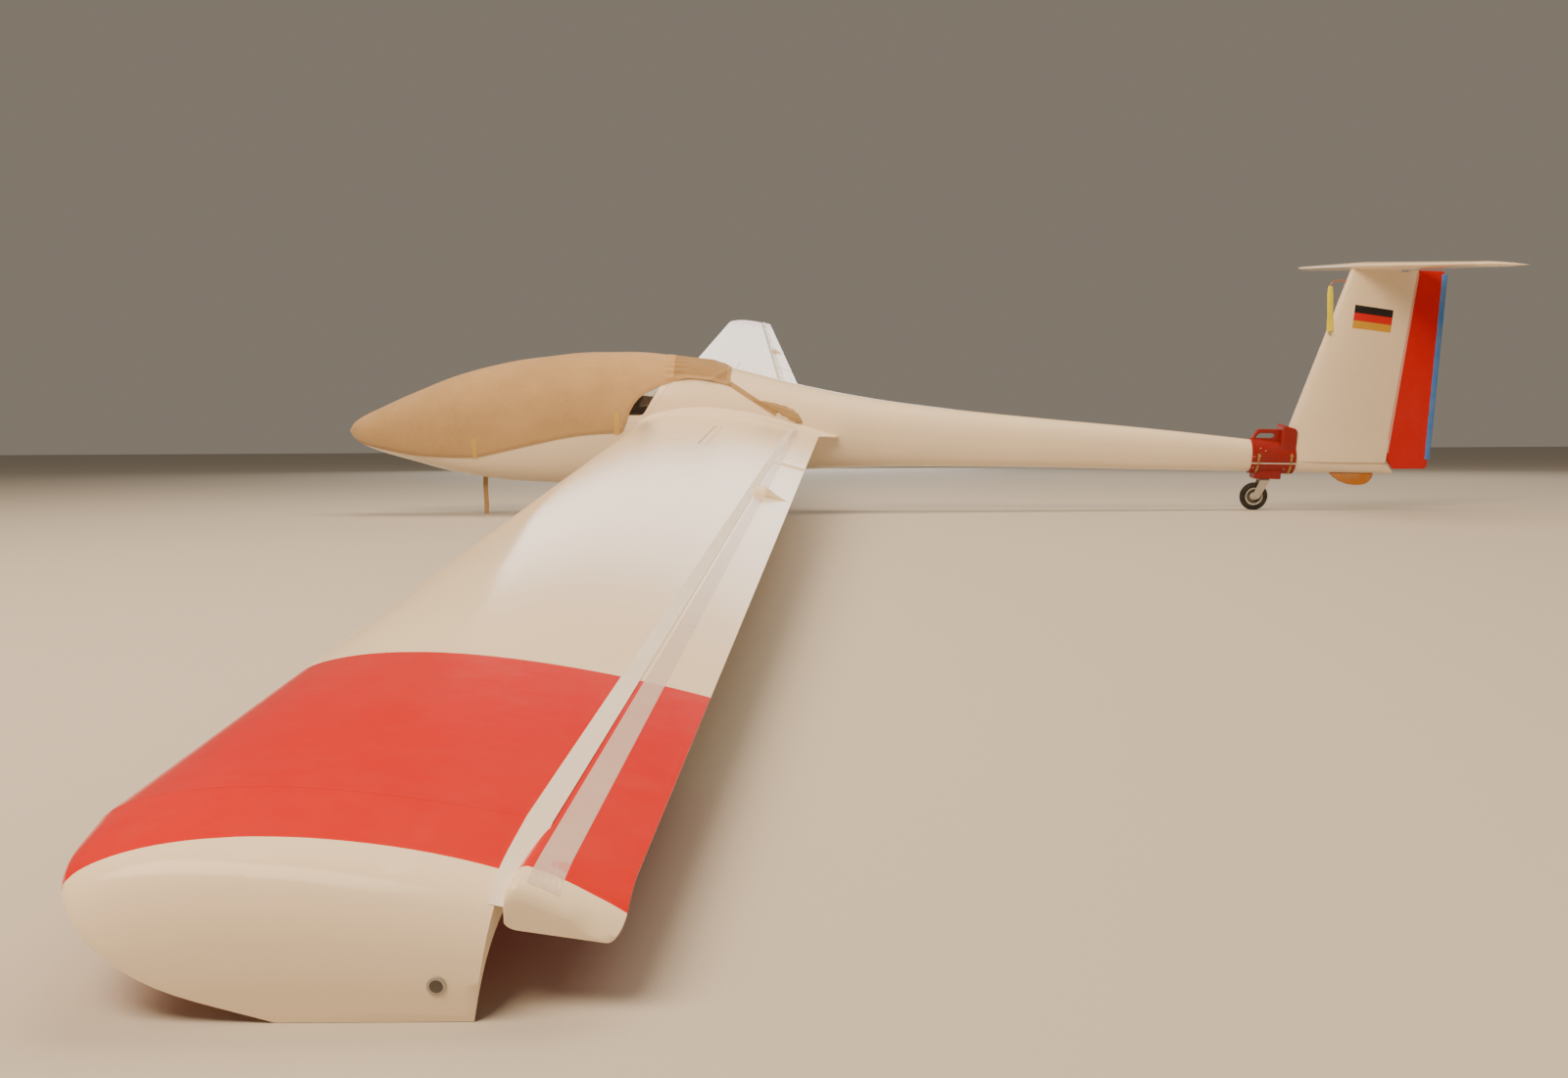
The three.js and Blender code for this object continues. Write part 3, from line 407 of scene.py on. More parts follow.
def sheet(name: str, grid: Sequence[Points] | Points, thickness: float, uv: Optional[Points] = None) -> Piece:
    """Thin closed sheet from a grid primitive, with its arc lengths in metres as the UV map.

    Args:
        name: the piece's name.
        grid: level points of its middle, shape (rows, columns, 3).
        thickness: its thickness.
        uv: UV of each point, shape (rows, columns, 2); arc lengths if left out.

    Returns:
        The piece.
    """
    grid = np.asarray(grid, float)
    rows, columns = grid.shape[:2]
    deselect()
    bpy.ops.mesh.primitive_grid_add(x_subdivisions=columns - 1, y_subdivisions=rows - 1, size=2)
    piece = started(name)
    column, row, _ = np.rint((vertices(piece) + 1) / 2 * (columns - 1, rows - 1, 0)).astype(int).T
    set_points(piece, grid[row, column])
    if uv is None:
        uv = np.zeros((rows, columns, 2))
        uv[:, 1:, 0] = np.cumsum(np.linalg.norm(np.diff(grid, axis=1), axis=2), axis=1) / 1000
        uv[1:, :, 1] = np.cumsum(np.linalg.norm(np.diff(grid, axis=0), axis=2), axis=0) / 1000
    set_uv(piece, uv[row, column])
    modify(piece, "SOLIDIFY", thickness=thickness / 1000, offset=0)
    face_out(piece)
    return piece


def turned(name: str, profile: Points, centre: Sequence[float], steps: int, pressed: bool = False) -> Piece:
    """Body turned about the y axis from a torus whose section follows a closed profile.

    Args:
        name: the piece's name.
        profile: closed loop of (radius, offset) points.
        centre: level point on the axis.
        steps: segments round the axis.
        pressed: whether the floor presses it flat.

    Returns:
        The piece.
    """
    deselect()
    bpy.ops.mesh.primitive_torus_add(major_segments=steps, minor_segments=len(profile), major_radius=1,
                                     minor_radius=0.2, generate_uvs=False)
    piece = started(name)
    angle = circle(steps)[:, None]
    radius, offset = np.asarray(profile, float).T
    rings = np.array(centre) + stack(np.sin(angle) * radius, offset, np.cos(angle) * radius)
    if pressed:
        rings[..., 2] = np.maximum(rings[..., 2], AXES.floor(rings[..., 0], rings[..., 1]) + FLOOR_GAP)
    set_points(piece, rings.reshape(-1, 3))
    face_out(piece)
    return piece


def prism(name: str, base: Sequence[Sequence[float]], shift: Sequence[float]) -> Piece:
    """Prism from a filled circle placed on an outline and extruded.

    Args:
        name: the piece's name.
        base: level points of the outline.
        shift: level vector of the extrusion.

    Returns:
        The piece.
    """
    deselect()
    bpy.ops.mesh.primitive_circle_add(vertices=len(base), radius=1, fill_type="NGON")
    piece = started(name)
    set_points(piece, base)
    move = {"value": AXES.direction(shift) / 1000}
    edit(piece, lambda: bpy.ops.mesh.extrude_region_move(TRANSFORM_OT_translate=move))
    face_out(piece)
    return piece


def side_plate(name: str, outline: Sequence[Sequence[float]], y0: float, y1: Optional[float] = None) -> Piece:
    """Prism of a side view outline of (x, z) points between y0 and y1, or to both sides of the middle."""
    start, end = (-y0, y0) if y1 is None else (y0, y1)
    return prism(name, [(x, start, z) for x, z in outline], (0, end - start, 0))


def block(name: str, low: Sequence[float], high: Sequence[float]) -> Piece:
    """Box between two level corners, scaled from a cube in edit mode.

    Args:
        name: the piece's name.
        low: its lowest corner.
        high: its highest corner.

    Returns:
        The piece.
    """
    deselect()
    bpy.ops.mesh.primitive_cube_add(size=1)
    piece = started(name)
    set_points(piece, low + (vertices(piece) + 0.5) * np.subtract(high, low))
    face_out(piece)
    return piece


def rod(name: str, path: Points, radius: float | Points, sides: int = 16) -> Piece:
    """Round rod along a path.

    Args:
        name: the piece's name.
        path: level points of its middle line.
        radius: one radius, or one for each point.
        sides: corners of its section.

    Returns:
        The piece.
    """
    path = np.asarray(path, float)
    ahead = unit(np.gradient(path, axis=0))
    guide = (0.0, 1.0, 0.0) if abs(ahead[0, 1]) < 0.9 else (1.0, 0.0, 0.0)
    across = unit(np.cross(ahead, guide))
    angle = circle(sides)[:, None]
    ring = across[:, None] * np.cos(angle) + np.cross(ahead, across)[:, None] * np.sin(angle)
    return tube(name, path[:, None] + np.broadcast_to(radius, len(path))[:, None, None] * ring)


# Shader nodes and the groups that several finishes share


def rgba(colour: Colour, factor: float = 1.0) -> tuple[float, float, float, float]:
    """A colour with full alpha, made darker or lighter by a factor."""
    return (*(min(1.0, channel * factor) for channel in colour), 1.0)


def fill(node: bpy.types.Node, **values: object) -> None:
    """Sets a node's inputs, named with _ for a space."""
    for key, value in values.items():
        node.inputs[key.replace("_", " ")].default_value = value


class Nodes:
    """Small helper that adds nodes and links to a node tree."""

    def __init__(self, tree: bpy.types.NodeTree) -> None:
        """Keeps the tree."""
        self.tree = tree

    def add(self, kind: str, **settings: object) -> bpy.types.Node:
        """Adds a node.

        Args:
            kind: the node's type.
            settings: its properties.

        Returns:
            The node.
        """
        node = self.tree.nodes.new(kind)
        for key, value in settings.items():
            setattr(node, key, value)
        return node

    def feed(self, target: Socket, value: object) -> None:
        """Gives an input its value.

        Args:
            target: the input.
            value: a socket to link, or a number or colour to set.
        """
        if isinstance(value, Socket):
            self.tree.links.new(value, target)
        else:
            target.default_value = value

    def math(self, operation: str, *values: object, clamp: bool = False) -> Socket:
        """A Math node of sockets or numbers.

        Args:
            operation: the operation's name.
            values: sockets or numbers, in order.
            clamp: whether the result is clamped to 0 and 1.

        Returns:
            The result's socket.
        """
        node = self.add("ShaderNodeMath", operation=operation, use_clamp=clamp)
        for socket, value in zip(node.inputs, values):
            self.feed(socket, value)
        return node.outputs[0]

    def mix(self, share: object, first: object, second: object) -> Socket:
        """Mixes two colours.

        Args:
            share: the second colour's share.
            first: a socket or an RGBA tuple.
            second: a socket or an RGBA tuple.

        Returns:
            The result's socket.
        """
        node = self.add("ShaderNodeMix", data_type="RGBA")
        for index, value in ((0, share), (6, first), (7, second)):
            self.feed(node.inputs[index], value)
        return node.outputs[2]

    def split(self, vector: Socket) -> Sequence[Socket]:
        """A vector's three components."""
        node = self.add("ShaderNodeSeparateXYZ")
        self.feed(node.inputs[0], vector)
        return node.outputs

    def noise(self, vector: Socket, scale: float, detail: float, roughness: float) -> Socket:
        """A noise value.

        Args:
            vector: where it is read.
            scale: its scale per metre.
            detail: its layers.
            roughness: the weight of its fine layers.

        Returns:
            The value's socket.
        """
        node = self.add("ShaderNodeTexNoise")
        self.feed(node.inputs["Vector"], vector)
        fill(node, Scale=scale, Detail=detail, Roughness=roughness)
        return node.outputs["Fac"]

    def bump(
        self, height: Socket, strength: float, distance: float, under: Optional[Socket] = None
    ) -> Socket:
        """A normal raised by a height.

        Args:
            height: the height's socket.
            strength: the bump's strength.
            distance: its depth in metres.
            under: a normal that it lies on.

        Returns:
            The normal's socket.
        """
        node = self.add("ShaderNodeBump")
        fill(node, Strength=strength, Distance=distance)
        if under is not None:
            self.feed(node.inputs["Normal"], under)
        self.feed(node.inputs["Height"], height)
        return node.outputs[0]

    def use(self, name: str, vector: Socket, **values: float) -> dict[str, Socket]:
        """Places a shared node group.

        Args:
            name: the group's name.
            vector: what its Vector input reads.
            values: its other inputs.

        Returns:
            Its outputs by name.
        """
        makers = {"soiling": soiling_group, "weave": weave_group}
        node = self.add("ShaderNodeGroup", node_tree=bpy.data.node_groups.get(name) or makers[name]())
        self.feed(node.inputs["Vector"], vector)
        fill(node, **values)
        return node.outputs


def group_tree(
    name: str, inputs: dict[str, float], outputs: Sequence[str]
) -> tuple[bpy.types.NodeTree, Nodes, dict[str, Socket], dict[str, Socket]]:
    """Starts a shader node group that reads a vector and numbers and puts out numbers.

    Args:
        name: the group's name.
        inputs: default value of each number that it reads, by name.
        outputs: names of what it puts out.

    Returns:
        The tree, its helper, the sockets that it reads and those that it feeds.
    """
    tree = bpy.data.node_groups.new(name, "ShaderNodeTree")
    tree.interface.new_socket("Vector", in_out="INPUT", socket_type="NodeSocketVector")
    for key, default in inputs.items():
        tree.interface.new_socket(key, in_out="INPUT", socket_type="NodeSocketFloat").default_value = default
    for key in outputs:
        tree.interface.new_socket(key, in_out="OUTPUT", socket_type="NodeSocketFloat")
    nodes = Nodes(tree)
    return tree, nodes, nodes.add("NodeGroupInput").outputs, nodes.add("NodeGroupOutput").inputs


def soiling_group() -> bpy.types.NodeTree:
    """Builds the group of dust and handling marks, from a broad and a fine noise.

    Returns:
        The group's tree.
    """
    tree, nodes, read, out = group_tree("soiling", {"Scale": 3.0, "Amount": 0.2}, ("Mask", "Gloss", "Height"))
    scaled = nodes.add("ShaderNodeVectorMath", operation="SCALE")
    nodes.feed(scaled.inputs[0], read["Vector"])
    nodes.feed(scaled.inputs["Scale"], read["Scale"])
    broad = nodes.noise(scaled.outputs[0], 1.0, 4.0, 0.6)
    fine = nodes.noise(scaled.outputs[0], 14.0, 2.0, 0.7)
    both = nodes.math("ADD", nodes.math("MULTIPLY", broad, 0.7), nodes.math("MULTIPLY", fine, 0.3))
    marks = nodes.add("ShaderNodeMapRange")
    for socket, value in zip(marks.inputs, (both, 0.42, 0.72, 0.0, 1.0)):
        nodes.feed(socket, value)
    nodes.feed(out["Mask"], nodes.math("MULTIPLY", marks.outputs[0], read["Amount"], clamp=True))
    nodes.feed(out["Gloss"], nodes.math("MULTIPLY", fine, read["Amount"]))
    nodes.feed(out["Height"], both)
    return tree


def weave_group() -> bpy.types.NodeTree:
    """Builds the group of a plain weave on a UV map in metres.

    Returns:
        The group's tree.
    """
    tree, nodes, read, out = group_tree("weave", {"Threads": 700.0}, ("Height", "Mask"))
    across, along, _ = nodes.split(read["Vector"])
    turn = nodes.math("MULTIPLY", read["Threads"], math.pi)
    warp, weft = (nodes.math("SINE", nodes.math("MULTIPLY", line, turn)) for line in (across, along))
    height = nodes.math("ABSOLUTE", nodes.math("MULTIPLY", warp, weft))
    slub = nodes.math("MULTIPLY", nodes.noise(read["Vector"], 260.0, 3.0, 0.7), 0.6)
    nodes.feed(out["Height"], nodes.math("ADD", height, slub))
    nodes.feed(out["Mask"], nodes.math("ADD", nodes.math("MULTIPLY", height, 0.4), slub))
    return tree


# Finishes


@dataclass(frozen=True)
class Finish:
    """A named finish, whose material is built once."""

    name: str
    colour: Colour

    def material(self) -> bpy.types.Material:
        """Builds the material, or finds it if it was built before.

        Returns:
            The material.
        """
        title = f"{self.name}_finish"
        made = bpy.data.materials.get(title)
        if made is None:
            made = bpy.data.materials.new(title)
            made.use_nodes = True
            self.shade(Nodes(made.node_tree), made.node_tree.nodes["Principled BSDF"])
        return made

    def shade(self, nodes: Nodes, shader: bpy.types.Node) -> None:
        """Sets the shader up; each kind of finish does it in its own way."""
        raise NotImplementedError


@dataclass(frozen=True)
class Paint(Finish):
    """Sprayed or moulded hard finish with soiling and a faint surface wave."""

    roughness: float = 0.25
    metallic: float = 0.0
    coat: float = 0.0
    soil: float = 0.15
    soil_colour: Colour = (0.42, 0.34, 0.24)
    soil_scale: float = 3.0
    bump: float = 0.02
    alpha: float = 1.0
    specular: float = 0.5

    def shade(self, nodes: Nodes, shader: bpy.types.Node) -> None:
        """Soils the base colour and the gloss, and lifts the surface a little.

        Args:
            nodes: the material's nodes.
            shader: its shader.
        """
        place = nodes.add("ShaderNodeTexCoord").outputs["Object"]
        soil = nodes.use("soiling", place, Scale=self.soil_scale, Amount=self.soil)
        base = nodes.mix(soil["Mask"], self.pattern(nodes), rgba(self.soil_colour))
        nodes.feed(shader.inputs["Base Color"], base)
        nodes.feed(shader.inputs["Roughness"], nodes.math("ADD", soil["Gloss"], self.roughness, clamp=True))
        nodes.feed(shader.inputs["Normal"], nodes.bump(soil["Height"], self.bump, 0.001))
        fill(shader, Metallic=self.metallic, Coat_Weight=self.coat, Coat_Roughness=0.05,
             Specular_IOR_Level=self.specular, Alpha=self.alpha)

    def pattern(self, nodes: Nodes) -> object:
        """The base colour before soiling: plain here."""
        return rgba(self.colour)


@dataclass(frozen=True)
class BandedGelcoat(Paint):
    """Gelcoat with a red band across the wing near its tip, bounded outside by a curve."""

    band: Colour = (0.62, 0.0, 0.0)
    inner_y: float = 6.81
    # x of the curve's middle, y there, and its fall per square metre ahead and behind
    crest: tuple[float, float, float, float] = (2.39, 7.432, 0.35, 0.75)

    def pattern(self, nodes: Nodes) -> Socket:
        """Mixes the band over the gelcoat in the plan view UV map, x and y in metres.

        Args:
            nodes: the material's nodes.

        Returns:
            The colour's socket.
        """
        x, y, _ = nodes.split(nodes.add("ShaderNodeUVMap").outputs[0])
        middle, edge, ahead, behind = self.crest
        off = nodes.math("SUBTRACT", x, middle)
        curve = nodes.math("MULTIPLY_ADD", nodes.math("LESS_THAN", off, 0.0), ahead - behind, behind)
        limit = nodes.math("MULTIPLY_ADD", nodes.math("MULTIPLY", off, off), curve, edge)
        inside = nodes.math("GREATER_THAN", y, self.inner_y)
        share = nodes.math("MULTIPLY", inside, nodes.math("LESS_THAN", y, limit))
        return nodes.mix(share, rgba(self.colour), rgba(self.band))


@dataclass(frozen=True)
class Cloth(Finish):
    """Woven cloth on a UV map in metres, with stains and a soft sheen."""

    threads: float = 700.0
    stain: float = 0.35
    stain_colour: Colour = (0.26, 0.16, 0.07)
    stitch: tuple[float, ...] = ()
    thread: Colour = (0.62, 0.50, 0.34)

    def shade(self, nodes: Nodes, shader: bpy.types.Node) -> None:
        """Weaves, stains, stitches and creases the cloth.

        Args:
            nodes: the material's nodes.
            shader: its shader.
        """
        uv = nodes.add("ShaderNodeUVMap").outputs[0]
        place = nodes.add("ShaderNodeTexCoord").outputs["Object"]
        weave = nodes.use("weave", uv, Threads=self.threads)
        soil = nodes.use("soiling", place, Scale=4.0, Amount=self.stain)
        woven = nodes.mix(weave["Mask"], rgba(self.colour, 0.82), rgba(self.colour, 1.14))
        base = nodes.mix(soil["Mask"], woven, rgba(self.stain_colour))
        height = weave["Height"]
        if self.stitch:
            seam = self.seam(nodes, uv)
            base = nodes.mix(seam, base, rgba(self.thread))
            height = nodes.math("ADD", height, nodes.math("MULTIPLY", seam, 2.0))
        crease = nodes.bump(nodes.noise(place, 9.0, 4.0, 0.55), 0.4, 0.01)
        nodes.feed(shader.inputs["Base Color"], base)
        nodes.feed(shader.inputs["Normal"], nodes.bump(height, 0.35, 0.0008, crease))
        fill(shader, Roughness=0.9, Sheen_Weight=0.25)

    def seam(self, nodes: Nodes, uv: Socket) -> Socket:
        """Mask of the stitches: dashes of 3 mm along lines at the stitch distances.

        Args:
            nodes: the material's nodes.
            uv: the UV map's socket.

        Returns:
            The mask's socket.
        """
        across, along, _ = nodes.split(uv)
        row, *others = [nodes.math("COMPARE", across, at, 0.0006) for at in self.stitch]
        for other in others:
            row = nodes.math("MAXIMUM", row, other)
        dash = nodes.math("LESS_THAN", nodes.math("FRACT", nodes.math("MULTIPLY", along, 240.0)), 0.7)
        return nodes.math("MULTIPLY", row, dash)


@dataclass(frozen=True)
class Glass(Finish):
    """Clear acrylic, slightly brown."""

    def shade(self, nodes: Nodes, shader: bpy.types.Node) -> None:
        """Sets the clear shader's own sockets."""
        fill(shader, Base_Color=rgba(self.colour), Roughness=0.03, Transmission_Weight=0.9, IOR=1.49)


CREAM: Colour = (0.90, 0.745, 0.545)
GELCOAT = Paint("gelcoat", CREAM, roughness=0.16, coat=0.35, soil=0.12, soil_scale=1.6, bump=0.015)
WING_GELCOAT = BandedGelcoat("wing_gelcoat", CREAM, roughness=0.12, soil=0.08, soil_scale=1.6, bump=0.015,
                             specular=0.18)
RED_PAINT = Paint("red_paint", (0.62, 0.0, 0.0), roughness=0.18, coat=0.1, soil=0.05, specular=0.3)
GUARD_BLUE = Paint("guard_blue", (0.03, 0.19, 0.60), roughness=0.55, soil=0.25, soil_scale=9.0, bump=0.1)
DOLLY_RED = Paint("dolly_red", (0.27, 0.006, 0.004), roughness=0.38, soil=0.35, soil_scale=14.0, bump=0.25,
                  soil_colour=(0.16, 0.05, 0.04))
SKID_ORANGE = Paint("skid_orange", (0.52, 0.17, 0.006), roughness=0.45, soil=0.5, soil_scale=12.0, bump=0.3)
SEAL_WHITE = Paint("seal_tape", (0.83, 0.77, 0.68), roughness=0.38, soil=0.2, soil_scale=8.0, bump=0.12)
RUDDER_SEAL = Paint("rudder_seal", (0.74, 0.34, 0.27), roughness=0.38, soil_scale=8.0)
TAG_CARD = Paint("tag_card", (0.52, 0.36, 0.2), roughness=0.8, soil=0.3, soil_scale=30.0)
SEAL_FILM = Paint("seal_film", (0.90, 0.80, 0.74), roughness=0.12, soil=0.12, soil_scale=20.0, bump=0.25,
                  alpha=0.42)
# Dark finish of the rod in the tie-down hole: painted shade of the hole's depth
HOLE_SHADE = Paint("hinge_cove", (0.10, 0.085, 0.07), roughness=0.8, soil=0.3)
STEEL = Paint("steel", (0.46, 0.45, 0.43), roughness=0.36, metallic=0.9, soil=0.4, soil_scale=22.0, bump=0.3)
FORK_GREY = Paint("fork_grey", (0.50, 0.46, 0.40), roughness=0.5, metallic=0.2, soil=0.5, soil_scale=24.0,
                  bump=0.3)
BRASS = Paint("latch_brass", (0.62, 0.42, 0.14), roughness=0.35, metallic=0.9, soil=0.4, soil_scale=40.0,
              bump=0.2)
COPPER = Paint("probe_copper", (0.62, 0.28, 0.15), roughness=0.35, metallic=0.8, soil=0.3, soil_scale=30.0)
RUBBER = Paint("tyre_rubber", (0.018, 0.017, 0.016), roughness=0.75, soil=0.45, soil_scale=14.0, bump=0.5,
               soil_colour=(0.16, 0.12, 0.08))
WHEEL_PALE = Paint("wheel_pale", (0.60, 0.57, 0.50), roughness=0.45, soil=0.5, soil_scale=26.0, bump=0.25)
TRIM = Paint("trim_dark", (0.045, 0.042, 0.04), roughness=0.6, soil=0.3, soil_scale=20.0, bump=0.3)
FLAG_BLACK = Paint("flag_black", (0.012, 0.010, 0.009), soil=0.08)
FLAG_RED = Paint("flag_red", (0.62, 0.006, 0.006), soil=0.08)
FLAG_GOLD = Paint("flag_gold", (0.62, 0.33, 0.02), soil=0.08)
CANVAS = Cloth("cover_canvas", (0.56, 0.35, 0.155), threads=520.0)
CANVAS_AFT = Cloth("cover_canvas_aft", (0.38, 0.225, 0.09), threads=520.0, stain=0.5)
WEBBING = Cloth("webbing", (0.42, 0.27, 0.12), threads=900.0, stain=0.5)
YELLOW_WEB = Cloth("yellow_webbing", (0.66, 0.44, 0.10), threads=900.0, stain=0.25, stitch=(0.003, 0.025))
HEM = Cloth("cover_hem", (0.47, 0.285, 0.12), threads=520.0, stitch=(0.003, 0.017))
SLEEVE_YELLOW = Cloth("sleeve_cloth", (0.95, 0.80, 0.0), threads=900.0, stain=0.15)
SEAT_CLOTH = Cloth("seat_cloth", (0.16, 0.14, 0.12))
ACRYLIC = Glass("acrylic", (0.20, 0.15, 0.11))


def coat(piece: Piece, finish: Finish) -> None:
    """Gives a piece the one material of a finish."""
    piece.data.materials.clear()
    piece.data.materials.append(finish.material())


def dress(
    piece: Piece, finish: Finish, slot: Slot, *nodes: str, body: str = Body.AIRFRAME, angle: float = 30.0,
    weighted: bool = False
) -> Piece:
    """Shades a finished piece, gives it its material and body, and hides the frame's nodes that it stands
    for.

    Args:
        piece: the piece.
        finish: its finish.
        slot: the record's material slot; not used.
        nodes: names of the frame's nodes that it replaces.
        body: the body that it rides.
        angle: edges sharper than this in degrees stay sharp; 0 leaves all faces flat.
        weighted: whether the large faces lead the shading.

    Returns:
        The same piece.
    """
    select(piece)
    if angle:
        bpy.ops.object.shade_smooth_by_angle(angle=math.radians(angle))
    if weighted:
        modify(piece, "WEIGHTED_NORMAL", keep_sharp=True)
    coat(piece, finish)
    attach(piece, getattr(body, "value", body))
    if nodes:
        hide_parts(*nodes)
    LOG.info("%s rides on %s, %d faces", piece.name, body, len(piece.data.polygons))
    return piece


def finish_nodes(finish: Finish, *nodes: str) -> None:
    """Gives nodes of the frame that stay in view a finish."""
    for node in nodes:
        coat(frame["nodes"][node], finish)


# Shapes shared by several pieces


class FuselageShape:
    """Smooth sections of the fuselage: superellipses along the glider."""

    # x, half width, top, bottom, power
    ROWS = np.array([
        (9, 2, 541, 535, 2.0), (12, 9, 548, 528, 2.0), (35, 42, 586, 492, 2.0), (100, 92, 632, 447, 2.0),
        (215, 142, 688, 406, 2.05), (400, 195, 775, 358, 2.1), (650, 245, 880, 296, 2.15),
        (900, 280, 956, 257, 2.2), (1164, 303, 1009, 240, 2.2), (1560, 315, 1055, 236, 2.2),
        (1960, 312, 1052, 242, 2.2), (2200, 300, 1024, 258, 2.2), (2500, 275, 960, 296, 2.15),
        (2850, 228, 879, 348, 2.1), (3300, 177, 803, 373, 2.0), (3800, 141, 747, 385, 2.0),
        (4300, 119, 706, 391, 2.0), (5050, 92, 651, 392, 2.0), (5660, 73, 597, 393, 2.0),
        (6000, 62, 562, 393, 2.0), (6400, 45, 522, 393, 2.0), (6536, 34, 500, 394, 2.0),
        (6597, 22, 420, 396, 2.0),
    ])
    FIRST, LAST = ROWS[0, 0], ROWS[-1, 0]

    @classmethod
    def at(cls, x: Points) -> Points:
        """Half width, top, bottom and power at each x, shape (n, 4)."""
        return hermite(np.sqrt(cls.ROWS[:, 0]), cls.ROWS[:, 1:], np.sqrt(np.clip(x, cls.FIRST, cls.LAST)))

    @classmethod
    def points(cls, x: Points, angle: Points, offset: Points | float = 0.0) -> Points:
        """Points on the skin.

        Args:
            x: stations, shape (n,).
            angle: section angles from starboard over the top, shape (n, m) or (m,).
            offset: distance out of the skin, a number or shape (n, m).

        Returns:
            Level points, shape (n, m, 3).
        """
        x = np.atleast_1d(np.asarray(x, float))
        half, top, bottom, power = cls.at(x).T[:, :, None]
        y = (half + offset) * signed_power(np.cos(angle), 2 / power)
        z = (top + bottom) / 2 + ((top - bottom) / 2 + offset) * signed_power(np.sin(angle), 2 / power)
        return stack(x[:, None], y, z)

    @classmethod
    def angle_at(cls, x: Points, z: Points) -> Points:
        """Starboard section angle where the skin at x has the height z."""
        _, top, bottom, power = cls.at(x).T
        share = np.clip((np.asarray(z, float) - (top + bottom) / 2) / ((top - bottom) / 2), -1, 1)
        return np.arcsin(signed_power(share, power / 2))

    @classmethod
    def side_point(
        cls, x: Points, z: Points, side: Side, offset: float | Callable[[Points, Points], Points] = 0.0
    ) -> Points:
        """Points over one side's skin.

        Args:
            x: places along the glider.
            z: heights.
            side: the side.
            offset: distance out of the skin, or a function of x and the section angle that gives it.

        Returns:
            Level points, in the common shape of x and z.
        """
        x, z = np.broadcast_arrays(np.asarray(x, float), np.asarray(z, float))
        angle = cls.angle_at(x.ravel(), z.ravel())[:, None]
        if side is Side.LEFT:
            angle = math.pi - angle
        lift = offset(x.reshape(-1, 1), angle) if callable(offset) else offset
        return cls.points(x.ravel(), angle, lift).reshape(*x.shape, 3)

    @classmethod
    def solid(
        cls, name: str, x0: float, x1: float, offset: float, stations: int = 40, columns: int = 72
    ) -> Piece:
        """Closed body between the stations x0 and x1, grown past the skin by an offset."""
        x = np.linspace(math.sqrt(x0), math.sqrt(x1), stations) ** 2
        return tube(name, cls.points(x, circle(columns), offset))


def aerofoil(fraction: Points, thick: Points | float, camber: float) -> tuple[Points, Points]:
    """Top and bottom of a section, as shares of the chord.

    Args:
        fraction: chord fractions.
        thick: greatest thickness as a share of the chord.
        camber: greatest height of the middle line as a share of the chord.

    Returns:
        The top and the bottom.
    """
    f = np.clip(fraction, 0, 1)
    half = 5 * thick * (0.2969 * np.sqrt(f) - 0.126 * f - 0.3516 * f**2 + 0.2843 * f**3 - 0.1008 * f**4)
    peak = 0.45
    line = np.where(
        f < peak, camber / peak**2 * (2 * peak * f - f * f),
        camber / (1 - peak) ** 2 * ((1 - 2 * peak) + 2 * peak * f - f * f),
    )
    return line + half, line - half


# Clearances round the nose of what turns on a hinge: to the wall, to the cove, and where the lips end
WALL_GAP = 6.0
COVE_GAP = 2.2
LIP_SHARE = 0.4


